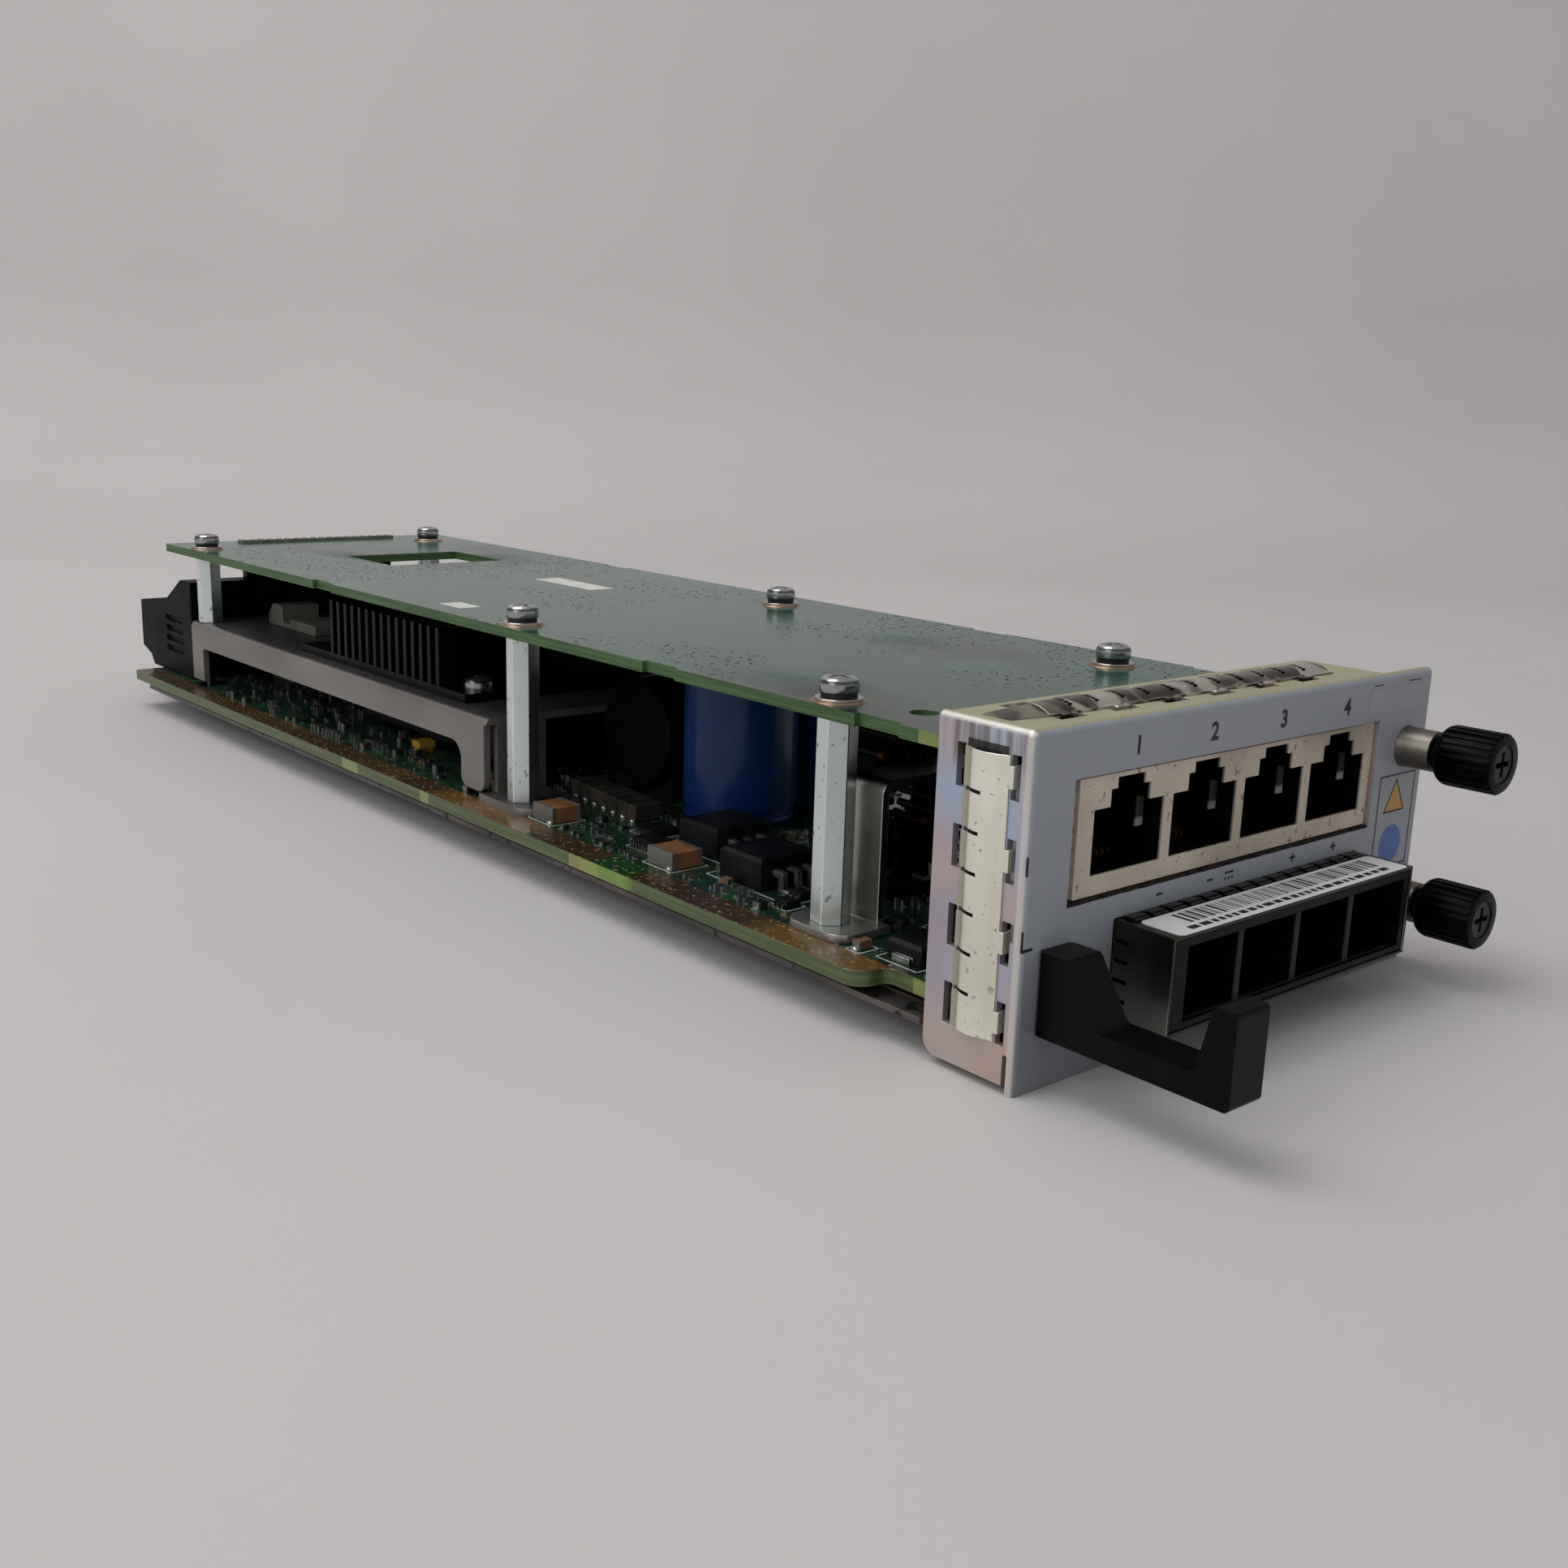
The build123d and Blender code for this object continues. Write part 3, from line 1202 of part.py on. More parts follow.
def make_retaining_ring(z):
    """The ring behind the panel that stops the screw from coming out."""
    low = SHEET + FERRULE_FLANGE_T + 2 * SEAT
    ring = along_y(KNOB_X, z, (low, low + RING_T), RING_D)
    ring -= along_y(KNOB_X, z, (low - 1, low + 2), GROOVE_D + 2 * SEAT)
    gap = GROOVE_D * 0.6
    return ring - block(
        (KNOB_X - gap / 2, KNOB_X + gap / 2), (low - 1, low + 2), (z, z + RING_D)
    )


pieces = {
    "front_panel": [make_front_panel()],
    "side_gasket": [make_side_gasket()],
    "top_gasket": [make_top_gasket()],
    "main_board": [make_main_board()],
    "top_board": [make_top_board()],
    "base_plate": [make_base_plate()],
    "insulating_film": [make_insulating_film()],
    "panel_rivets": make_panel_rivets(),
    "board_spacers": make_spacers(),
    "base_screws": make_base_screws(),
    "long_standoffs": make_long_standoffs(),
    "rear_standoffs": make_rear_standoffs(),
    "flat_washers": make_flat_washers(),
    "split_washers": make_split_washers(),
    "top_screws": make_top_screws(),
    "front_bracket": [make_front_bracket()],
    "rear_bracket": [make_rear_bracket()],
    "heatsink": [make_heatsink()],
    "heatsink_screws": make_sink_screws(),
    "converter_brick": [make_converter_brick()],
    "brick_pins": make_brick_pins(),
    "jack_shell": [make_jack_shell()],
    "jack_insert": [make_jack_insert()],
    "jack_contacts": make_jack_contacts(),
    "jack_tabs": make_jack_tabs(),
    "inlet_shield": [make_inlet_shield()],
    "inlet_housing": [make_inlet_housing()],
    "inlet_blades": make_inlet_blades(),
    "pull_handle": [make_handle()],
    "handle_screw": [make_handle_screw()],
    "bulk_capacitor": [make_can(CAN_X, CAN_Y)],
    "second_capacitor": [make_can(SECOND_CAN_X, SECOND_CAN_Y)],
    "lying_capacitor": [make_lying_can()],
    "capacitor_saddle": [make_can_saddle()],
    "choke_core": [make_choke_core()],
    "choke_winding": make_choke_winding(),
    "choke_base": [make_choke_base()],
    "backplane_plug": [make_backplane_plug()],
    "plug_contacts": make_plug_contacts(),
    "rear_header": [make_rear_header()],
    "header_pins": make_header_pins(),
    "tan_capacitors": make_tan_capacitors(),
    "grey_capacitors": make_grey_capacitors(),
    "power_transistors": make_power_transistors(),
    "control_chips": make_control_chips(),
    "clamp_diode": [make_clamp_diode()],
    "input_inductor": [make_input_inductor()],
    "top_board_chip": [make_top_board_chip()],
    "terminal_block": [make_terminal_block()],
}
for name, z in zip(("lower", "upper"), KNOB_Z):
    pieces[f"{name}_ferrule"] = [make_ferrule(z)]
    pieces[f"{name}_knob"] = [make_knob(z)]
    pieces[f"{name}_knob_screw"] = [make_knob_screw(z)]
    pieces[f"{name}_retaining_ring"] = [make_retaining_ring(z)]

# The part's own frame has its origin at the middle of the footprint, on the floor.
whole = Compound([solid for group in pieces.values() for solid in group]).bounding_box()
to_origin = Pos(-whole.center().X, -whole.center().Y, -whole.min.Z)

os.makedirs("parts", exist_ok=True)
for name, group in pieces.items():
    placed = [to_origin * solid for solid in group]
    shape = placed[0] if len(placed) == 1 else Compound(children=placed)
    export_step(shape, f"parts/{name}.step")
print("origin moved by", to_origin.position)
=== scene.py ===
import bmesh
import bpy
import math
import random
from mathutils import Matrix, Vector
from types import SimpleNamespace


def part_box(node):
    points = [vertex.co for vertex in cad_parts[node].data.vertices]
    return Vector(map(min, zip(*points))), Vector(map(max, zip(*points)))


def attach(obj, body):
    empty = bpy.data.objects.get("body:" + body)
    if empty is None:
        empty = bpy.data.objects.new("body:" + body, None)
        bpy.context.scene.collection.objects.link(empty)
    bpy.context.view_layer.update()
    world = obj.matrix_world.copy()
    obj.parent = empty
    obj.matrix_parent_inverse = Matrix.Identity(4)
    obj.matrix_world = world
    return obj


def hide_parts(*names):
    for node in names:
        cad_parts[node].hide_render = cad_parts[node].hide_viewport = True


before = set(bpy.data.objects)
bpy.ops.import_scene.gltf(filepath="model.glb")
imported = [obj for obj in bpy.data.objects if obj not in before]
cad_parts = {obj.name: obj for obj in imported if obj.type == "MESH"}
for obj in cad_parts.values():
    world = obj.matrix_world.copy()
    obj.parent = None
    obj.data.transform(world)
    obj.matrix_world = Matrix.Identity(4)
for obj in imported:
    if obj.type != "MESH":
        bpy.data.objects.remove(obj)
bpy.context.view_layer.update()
scene = bpy.context.scene

# The camera stands in front of the module's left corner, a little above it.
# Its place and lens were fitted to the photograph.
camera_data = bpy.data.cameras.new("camera")
camera_data.sensor_width = 36.0
camera_data.lens = 37.24
camera_data.clip_start = 0.01
camera = bpy.data.objects.new("camera", camera_data)
scene.collection.objects.link(camera)
camera.matrix_world = Matrix((
    (0.7648, 0.1281, -0.6313, -0.16384),
    (-0.6434, 0.1987, -0.7392, -0.23302),
    (0.0307, 0.9716, 0.2344, 0.07361),
    (0, 0, 0, 1),
))
scene.camera = camera
scene.view_settings.view_transform = "Standard"

# The table and the wall behind it are one pale sweep of paper-white board.
# Soft light comes from a large lamp above and behind, and a weaker one at the left.
forward = Vector((0.6494, 0.7604, 0))
across = Vector((0.7604, -0.6494, 0))


def srgb(code):
    """A colour written as six hex digits, in the linear values that shaders take."""
    parts = [int(code[i:i + 2], 16) / 255 for i in (0, 2, 4)]
    return (*(c / 12.92 if c <= 0.04045 else ((c + 0.055) / 1.055) ** 2.4 for c in parts), 1.0)


def surface(
    name, dark, light, grain=90.0, stretch=(1, 1, 1), metal=0.0, rough=(0.4, 0.6), relief=0.1, pits=900.0,
    coat=0.0, shine=0.5,
):
    """A finish whose colour, roughness and relief come from noise on object coordinates."""
    mat = bpy.data.materials.new(name)
    mat.use_nodes = True
    nodes, links = mat.node_tree.nodes, mat.node_tree.links
    shader = nodes["Principled BSDF"]
    shader.inputs["Metallic"].default_value = metal
    shader.inputs["Coat Weight"].default_value = coat
    shader.inputs["Specular IOR Level"].default_value = shine
    where = nodes.new("ShaderNodeTexCoord").outputs["Object"]
    lay = nodes.new("ShaderNodeMapping")
    lay.inputs["Scale"].default_value = stretch
    links.new(where, lay.inputs["Vector"])
    cloud = nodes.new("ShaderNodeTexNoise")
    cloud.inputs["Scale"].default_value = grain
    cloud.inputs["Detail"].default_value = 8
    links.new(lay.outputs["Vector"], cloud.inputs["Vector"])
    ramp = nodes.new("ShaderNodeValToRGB")
    ramp.color_ramp.elements[0].position, ramp.color_ramp.elements[0].color = 0.34, srgb(dark)
    ramp.color_ramp.elements[1].position, ramp.color_ramp.elements[1].color = 0.66, srgb(light)
    links.new(cloud.outputs["Fac"], ramp.inputs["Fac"])
    links.new(ramp.outputs["Color"], shader.inputs["Base Color"])
    gloss = nodes.new("ShaderNodeMapRange")
    gloss.inputs["From Min"].default_value, gloss.inputs["From Max"].default_value = 0.3, 0.7
    gloss.inputs["To Min"].default_value, gloss.inputs["To Max"].default_value = rough
    links.new(cloud.outputs["Fac"], gloss.inputs["Value"])
    links.new(gloss.outputs["Result"], shader.inputs["Roughness"])
    fine = nodes.new("ShaderNodeTexNoise")
    fine.inputs["Scale"].default_value = pits
    fine.inputs["Detail"].default_value = 4
    links.new(lay.outputs["Vector"], fine.inputs["Vector"])
    bump = nodes.new("ShaderNodeBump")
    bump.inputs["Strength"].default_value = relief
    bump.inputs["Distance"].default_value = 0.0002
    links.new(fine.outputs["Fac"], bump.inputs["Height"])
    links.new(bump.outputs["Normal"], shader.inputs["Normal"])
    return SimpleNamespace(
        mat=mat, nodes=nodes, links=links, shader=shader, where=where,
        colour=ramp.outputs["Color"], rough=gloss.outputs["Result"],
    )


paper = surface("sweep_paper", "bfbcbb", "c6c3c2", grain=4.0, rough=(0.7, 0.85), relief=0.02)
sweep = bmesh.new()
eye = Vector((camera.location.x, camera.location.y, 0))
SWEEP_WIDTH = 4.8
runs = [-1.6, 0.2, 0.55, 0.68, 0.74, 0.78, 0.80, 0.81, 0.81]
rises = [0, 0, 0, 0.002, 0.012, 0.035, 0.07, 0.12, 2.2]
left_end = eye - across * SWEEP_WIDTH / 2
line = [sweep.verts.new(left_end + forward * run + Vector((0, 0, rise))) for run, rise in zip(runs, rises)]
edges = [sweep.edges.new(pair) for pair in zip(line, line[1:])]
wide = bmesh.ops.extrude_edge_only(sweep, edges=edges)
far_side = [v for v in wide["geom"] if isinstance(v, bmesh.types.BMVert)]
bmesh.ops.translate(sweep, verts=far_side, vec=across * SWEEP_WIDTH)
bmesh.ops.recalc_face_normals(sweep, faces=sweep.faces)
sweep_mesh = bpy.data.meshes.new("sweep")
sweep.to_mesh(sweep_mesh)
sweep_mesh.materials.append(paper.mat)
sweep_mesh.shade_smooth()
backdrop = bpy.data.objects.new("sweep", sweep_mesh)
scene.collection.objects.link(backdrop)

world = bpy.data.worlds.new("studio")
scene.world = world
world.use_nodes = True
world.node_tree.nodes["Background"].inputs["Color"].default_value = srgb("f5f5f5")
world.node_tree.nodes["Background"].inputs["Strength"].default_value = 0.53
MODULE_MIDDLE = Vector((0, -0.05, 0.02))


def lamp(name, place, size, watts):
    """A square lamp that faces the module."""
    data = bpy.data.lights.new(name, "AREA")
    data.size, data.energy = size, watts
    obj = bpy.data.objects.new(name, data)
    scene.collection.objects.link(obj)
    obj.location = place
    obj.rotation_mode = "QUATERNION"
    obj.rotation_quaternion = (MODULE_MIDDLE - Vector(place)).to_track_quat("-Z", "Y")


lamp("ceiling_lamp", (-0.35, 0.25, 1.0), 0.7, 5.2)
lamp("window_lamp", (-0.9, -0.1, 0.5), 0.6, 2.2)

# Front panel: one sheet of zinc-plated steel, 1 mm thick, cut, pierced and folded.
# Only its face is painted, in blue-grey; the flanges keep the plating's faint rainbow.
# Every place below is measured from its lower left corner: X right, Y inward, Z up.
corner = Vector(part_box("front_panel")[0])


def mm(x, y, z):
    """A place in millimetres from the panel's corner, in metres of the frame."""
    return corner + Vector((x, y, z)) / 1000


def refined(node, width=0.0, segments=2, body="root"):
    """A CAD node's own shape with its loose triangles joined and its edges eased."""
    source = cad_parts[node]
    shape = bmesh.new()
    shape.from_mesh(source.data)
    bmesh.ops.remove_doubles(shape, verts=shape.verts, dist=1e-6)
    bmesh.ops.dissolve_limit(shape, angle_limit=math.radians(1.0), verts=shape.verts, edges=shape.edges)
    if width:
        folds = [e for e in shape.edges if len(e.link_faces) == 2]
        sharp = [e for e in folds if e.calc_face_angle() > math.radians(25)]
        bmesh.ops.bevel(
            shape, geom=sharp, offset=width / 1000, affect="EDGES", segments=segments,
            profile=0.5, material=-1, clamp_overlap=True,
        )
    piece = shown(node + "_made", shape, body=body)
    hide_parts(node)
    return piece


def shown(name, shape, *mats, body="root", slot=None):
    """The bmesh as an object of the module that rides on a body. Its slot is not used."""
    mesh = bpy.data.meshes.new(name)
    shape.to_mesh(mesh)
    shape.free()
    for mat in mats:
        mesh.materials.append(mat)
    mesh.shade_smooth()
    mesh.set_sharp_from_angle(angle=math.radians(32))
    obj = bpy.data.objects.new(name, mesh)
    scene.collection.objects.link(obj)
    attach(obj, body)
    return obj if slot else obj


def flatten(piece):
    """Even shading on the piece's flat faces beside its eased edges."""
    weigh = piece.modifiers.new("even_shading", "WEIGHTED_NORMAL")
    weigh.keep_sharp = True


def finish(piece, *looks):
    """Gives the piece these finishes as its material slots, in this order."""
    piece.data.materials.clear()
    for look in looks:
        piece.data.materials.append(look.mat)
    return piece


def between(look, axis, low, high, soft=0.05):
    """A mask of the stretch between two places along one axis, in panel millimetres."""
    split = look.nodes.new("ShaderNodeSeparateXYZ")
    look.links.new(look.where, split.inputs["Vector"])
    value = split.outputs["XYZ".index(axis)]
    start = corner["XYZ".index(axis)]
    masks = []
    for a, b in ((low - soft, low), (high + soft, high)):
        ease = look.nodes.new("ShaderNodeMapRange")
        ease.inputs["From Min"].default_value = start + a / 1000
        ease.inputs["From Max"].default_value = start + b / 1000
        look.links.new(value, ease.inputs["Value"])
        masks.append(ease.outputs["Result"])
    return both(look, *masks)


def both(look, *masks):
    """Where all of the masks hold."""
    result = masks[0]
    for mask in masks[1:]:
        join = look.nodes.new("ShaderNodeMath")
        join.operation = "MULTIPLY"
        look.links.new(result, join.inputs[0])
        look.links.new(mask, join.inputs[1])
        result = join.outputs["Value"]
    return result


def facing(look, axis, least=0.6):
    """A mask of the faces that look along or against one axis."""
    split = look.nodes.new("ShaderNodeSeparateXYZ")
    geometry = look.nodes.new("ShaderNodeNewGeometry")
    look.links.new(geometry.outputs["Normal"], split.inputs["Vector"])
    size = look.nodes.new("ShaderNodeMath")
    size.operation = "ABSOLUTE"
    look.links.new(split.outputs["XYZ".index(axis)], size.inputs[0])
    ease = look.nodes.new("ShaderNodeMapRange")
    ease.inputs["From Min"].default_value = least - 0.1
    ease.inputs["From Max"].default_value = least + 0.1
    look.links.new(size.outputs["Value"], ease.inputs["Value"])
    return ease.outputs["Result"]


def spots(look, grain, start, end, stretch=(1, 1, 1), detail=2.0):
    """A mask of noise patches: the higher the start, the fewer there are."""
    lay = look.nodes.new("ShaderNodeMapping")
    lay.inputs["Scale"].default_value = stretch
    look.links.new(look.where, lay.inputs["Vector"])
    cloud = look.nodes.new("ShaderNodeTexNoise")
    cloud.inputs["Scale"].default_value = grain
    cloud.inputs["Detail"].default_value = detail
    look.links.new(lay.outputs["Vector"], cloud.inputs["Vector"])
    ease = look.nodes.new("ShaderNodeMapRange")
    ease.inputs["From Min"].default_value, ease.inputs["From Max"].default_value = start, end
    look.links.new(cloud.outputs["Fac"], ease.inputs["Value"])
    return ease.outputs["Result"]


def tint(look, mask, colour, strength=1.0):
    """Lays one more colour over the finish where the mask holds."""
    mix = look.nodes.new("ShaderNodeMix")
    mix.data_type = "RGBA"
    amount = look.nodes.new("ShaderNodeMath")
    amount.operation = "MULTIPLY"
    amount.inputs[1].default_value = strength
    look.links.new(mask, amount.inputs[0])
    look.links.new(amount.outputs["Value"], mix.inputs["Factor"])
    look.links.new(look.colour, mix.inputs["A"])
    mix.inputs["B"].default_value = srgb(colour)
    look.colour = mix.outputs["Result"]
    look.links.new(look.colour, look.shader.inputs["Base Color"])


def matte(look, mask, rough, metal=None):
    """Another roughness, and metal or not, where the mask holds."""
    mix = look.nodes.new("ShaderNodeMix")
    look.links.new(mask, mix.inputs["Factor"])
    look.links.new(look.rough, mix.inputs["A"])
    mix.inputs["B"].default_value = rough
    look.rough = mix.outputs["Result"]
    look.links.new(look.rough, look.shader.inputs["Roughness"])
    if metal is not None:
        blend = look.nodes.new("ShaderNodeMix")
        look.links.new(mask, blend.inputs["Factor"])
        blend.inputs["A"].default_value = look.shader.inputs["Metallic"].default_value
        blend.inputs["B"].default_value = metal
        look.links.new(blend.outputs["Result"], look.shader.inputs["Metallic"])


plated = surface("plated_flange", "ab9fae", "d2c0b4", grain=34.0, metal=0.6, rough=(0.34, 0.46), relief=0.12)
tint(plated, spots(plated, 55.0, 0.5, 0.66), "a3b8d4", 0.7)
tint(plated, spots(plated, 30.0, 0.52, 0.68, stretch=(1.6, 1, 1)), "d1b08a", 0.6)
tint(plated, between(plated, "Z", -2.0, 5.0, soft=5.5), "d5b08a", 0.5)
rubbed = both(plated, between(plated, "Z", 36.6, 42.0, soft=2.2), between(plated, "X", -1.0, 0.8, soft=0.4))
tint(plated, both(plated, rubbed, spots(plated, 900.0, 0.42, 0.6, stretch=(1, 1, 0.06))), "6b5645", 0.7)
olive_top = both(plated, facing(plated, "Z"), between(plated, "Z", 40.2, 42.0, soft=0.3))
tint(plated, olive_top, "b4b58a", 0.85)
face_paint = between(plated, "Y", -0.5, 0.32, soft=0.08)
tint(plated, face_paint, "969ba4")
tint(plated, both(plated, face_paint, spots(plated, 14.0, 0.4, 0.7)), "8b8f95", 0.6)
# Painted shade: the painted face darkens towards its bottom edge.
tint(plated, both(plated, face_paint, between(plated, "Z", -1.0, 6.0, soft=10.0)), "6a6c72", 0.7)
# Bright bare metal along the left bend and the flange's top edge: worn there, and lightened further as a
# painted highlight.
left_bend = between(plated, "X", -0.3, 0.5, soft=0.2)
tint(plated, both(plated, left_bend, between(plated, "Y", 0.35, 0.9, soft=0.2)), "d9d4cf", 0.7)
tint(plated, both(plated, between(plated, "Z", 40.2, 41.0, soft=0.2), left_bend), "d9d4cf", 0.8)
# Painted shade: the flange's side faces behind the finger strip are darkened, so its slits look dark.
painted_shade_behind_strip = between(plated, "Y", 3.4, 9.2, soft=0.1), between(plated, "Z", 6.0, 38.4, soft=0.1)
tint(plated, both(plated, *painted_shade_behind_strip, facing(plated, "X")), "1c1815", 0.9)
edge_mark = both(
    plated, between(plated, "X", -0.4, 0.3), between(plated, "Y", 1.2, 2.3), between(plated, "Z", 17.5, 19.5),
)
tint(plated, edge_mark, "4d423c", 0.8)
matte(plated, face_paint, 0.42, metal=0.0)
flatten(finish(refined("front_panel", 0.18), plated))

# Printed marks: thin ink on the painted face. Names and ratings are left bare,
# so the ports carry plain numbers, and the inlet its plus and minus marks.
ink = surface("black_ink", "141519", "202226", grain=500.0, rough=(0.5, 0.65))
amber_ink = surface("amber_ink", "b98a3c", "c4964a", grain=300.0, rough=(0.4, 0.55))
blue_ink = surface("blue_ink", "3d64a4", "4a72b2", grain=300.0, rough=(0.4, 0.55))
sticker = surface("clear_sticker", "8e9298", "969aa0", grain=200.0, rough=(0.24, 0.36))
INK = 0.02
INTO_FACE = 0.01


def add_box(shape, low, high, slot=0, turn=0.0):
    """A box between two corners in panel millimetres, turned about its own middle."""
    low, high = mm(*low), mm(*high)
    place = Matrix.Translation((low + high) / 2) @ Matrix.Rotation(math.radians(turn), 4, "Z")
    made = bmesh.ops.create_cube(shape, size=1.0, matrix=place @ Matrix.Diagonal((*(high - low), 1.0)))
    for face in {f for v in made["verts"] for f in v.link_faces}:
        face.material_index = slot


marks = bmesh.new()


def stroke(x0, x1, z0, z1):
    """One bar of ink on the face."""
    add_box(marks, (x0, -INK, z0), (x1, INTO_FACE, z1))


def outline(x0, x1, z0, z1, width):
    """A rectangular ring of ink on the face."""
    stroke(x0, x1, z0, z0 + width)
    stroke(x0, x1, z1 - width, z1)
    stroke(x0, x0 + width, z0 + width, z1 - width)
    stroke(x1 - width, x1, z0 + width, z1 - width)


for x in (23.4, 33.1):
    stroke(x - 0.55, x + 0.55, 18.95, 19.25)
for x in (50.3, 59.5):
    stroke(x - 0.6, x + 0.6, 18.95, 19.25)
    stroke(x - 0.15, x + 0.15, 18.5, 19.7)
stroke(36.0, 37.8, 19.3, 19.6)
for x in (36.0, 36.7, 37.4):
    stroke(x, x + 0.4, 18.6, 18.9)
outline(69.4, 78.2, 14.0, 26.9, 0.2)
stroke(65.2, 67.4, 39.35, 39.5)
stroke(73.6, 76.8, 39.35, 39.5)
stroke(-0.02, 0.35, 25.1, 27.2)
stroke(-0.02, 0.3, 16.6, 19.0)
stroke(0.3, 1.9, 16.6, 16.95)
shown("printed_marks", marks, ink.mat, slot="black_plastic")

stickers = bmesh.new()
add_box(stickers, (64.5, -0.06, 35.5), (77.6, 0.0, 38.9))
add_box(stickers, (69.65, -0.012, 14.25), (77.95, 0.0, 26.65))
shown("bare_stickers", stickers, sticker.mat, slot="grey_paint")

SIGN_X, TRIANGLE_Z, DISC_Z = 73.6, 23.2, 17.2
UPRIGHT = Matrix.Rotation(math.pi / 2, 4, "X")
for name, radius, sides, z, front, look, slot in (
    ("amber_sign_field", 2.6, 3, TRIANGLE_Z, INK, amber_ink, "tan_ceramic"),
    ("amber_sign_rim", 3.1, 3, TRIANGLE_Z, INK * 0.7, ink, "black_plastic"),
    ("blue_sign_field", 2.7, 40, DISC_Z, INK, blue_ink, "blue_sleeve"),
):
    sign = bmesh.new()
    bmesh.ops.create_circle(
        sign, cap_ends=True, radius=radius / 1000, segments=sides,
        matrix=Matrix.Translation(mm(SIGN_X, -front, z)) @ UPRIGHT,
    )
    shown(name, sign, look.mat, slot=slot)

SIZE_BY_HEIGHT = 1.35
BOLDER = 0.00009


def numeral(text, x, z, height):
    """One printed numeral on the face, centred on x."""
    curve = bpy.data.curves.new("numeral", "FONT")
    curve.body, curve.size, curve.align_x = text, height / 1000 * SIZE_BY_HEIGHT, "CENTER"
    curve.offset = BOLDER
    holder = bpy.data.objects.new("numeral", curve)
    scene.collection.objects.link(holder)
    bpy.context.view_layer.update()
    mesh = bpy.data.meshes.new_from_object(holder.evaluated_get(bpy.context.evaluated_depsgraph_get()))
    bpy.data.objects.remove(holder)
    mesh.transform(Matrix.Translation(mm(x, -INK, z)) @ UPRIGHT)
    mesh.materials.clear()
    mesh.materials.append(ink.mat)
    obj = bpy.data.objects.new("port_numeral_" + text, mesh)
    scene.collection.objects.link(obj)
    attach(obj, "root")


FIRST_PORT_X, PORT_PITCH = 17.4, 13.97
for index in range(4):
    numeral(str(index + 1), FIRST_PORT_X + PORT_PITCH * index, 36.3, 2.2)

# Spring finger strips: beryllium copper with a cream plating, clipped into the flanges.
# The side strip is pale and speckled; the top one is darker and mirror-like.
cream = surface("cream_strip", "dcd8c8", "f2efe2", grain=60.0, metal=0.55, rough=(0.28, 0.4), relief=0.05)
tint(cream, spots(cream, 1500.0, 0.69, 0.72), "6a634f", 0.7)
# Painted shade: a darker band along the strip's rear edge.
tint(cream, between(cream, "Y", 8.3, 10.0, soft=0.5), "857c68", 0.7)
tint(
    cream, both(cream, between(cream, "Z", 5.0, 14.0, soft=6.0), spots(cream, 700.0, 0.64, 0.72)), "7a735c",
    0.6,
)
flatten(finish(refined("side_gasket", 0.04, segments=1), cream))
mirror_strip = surface(
    "mirror_strip", "4c463b", "a79f8c", grain=130.0, metal=0.95, rough=(0.12, 0.3), relief=0.08,
)
# Painted reflections: dark and bright patches along the top strip's fingers.
tint(mirror_strip, spots(mirror_strip, 260.0, 0.5, 0.56, stretch=(1, 0.5, 0.5), detail=1.0), "14110e", 0.85)
tint(mirror_strip, spots(mirror_strip, 200.0, 0.56, 0.62, stretch=(1, 0.8, 0.8), detail=1.0), "ddd9cf", 0.8)
flatten(finish(refined("top_gasket", 0.04, segments=1), mirror_strip))
slit_dark = surface("slit_shadow", "060606", "0d0c0b", grain=300.0, rough=(0.6, 0.8), shine=0.1)
TOP_STRIP_X, FINGER_PITCH, HALF_GAP = 7.6, 4.55, 0.2
gaps = bmesh.new()
for i in range(1, 12):
    x = TOP_STRIP_X + FINGER_PITCH * i
    for y, z in ((5.6, 41.5), (6.2, 41.62), (6.8, 41.7)):
        add_box(gaps, (x - HALF_GAP, y, z - 0.12), (x + HALF_GAP, y + 0.65, z + 0.02), turn=-6.0)
shown("finger_gaps", gaps, slit_dark.mat, slot="plated_steel")
FLANGE_TOP = 40.74
wedge = bmesh.new()
ramp = [wedge.verts.new(mm(*p)) for p in (
    (2.0, 5.2, FLANGE_TOP), (2.0, 9.4, FLANGE_TOP), (7.7, 10.5, FLANGE_TOP),
    (7.7, 7.4, 41.66), (7.7, 4.3, FLANGE_TOP),
)]
for face in ((0, 1, 3), (1, 2, 3), (0, 3, 4), (0, 4, 2, 1), (2, 4, 3)):
    wedge.faces.new([ramp[i] for i in face])
bmesh.ops.recalc_face_normals(wedge, faces=wedge.faces)
shown("top_strip_end", wedge, mirror_strip.mat, slot="plated_steel")

# Signal jack: four modular ports in a row in a tin-plated shell round a black moulding.
# Sprung wires stand in each port, and a light earth tab hangs at its right.
tin = surface("tin_shell", "aea294", "cec2b4", grain=70.0, metal=0.3, rough=(0.32, 0.44), relief=0.06)
tint(tin, spots(tin, 900.0, 0.64, 0.7), "6f5f4e", 0.75)
flatten(finish(refined("jack_shell", 0.05, segments=1), tin))
black_moulding = surface(
    "black_moulding", "040405", "09090b", grain=240.0, rough=(0.32, 0.5), relief=0.12, shine=0.14,
)
flatten(finish(refined("jack_insert", 0.08, segments=1), black_moulding))
wire_gold = surface("wire_gold", "57492c", "8a7442", grain=300.0, metal=0.9, rough=(0.25, 0.4))
finish(refined("jack_contacts"), wire_gold)
tab_metal = surface("tab_metal", "8e8983", "a9a49d", grain=300.0, metal=0.4, rough=(0.35, 0.5))
# Painted shade: the tabs are dark near their tops, under the ledge.
tint(tab_metal, between(tab_metal, "Z", 28.0, 31.0, soft=0.4), "12110f", 0.9)
finish(refined("jack_tabs", 0.03, segments=1), tab_metal)

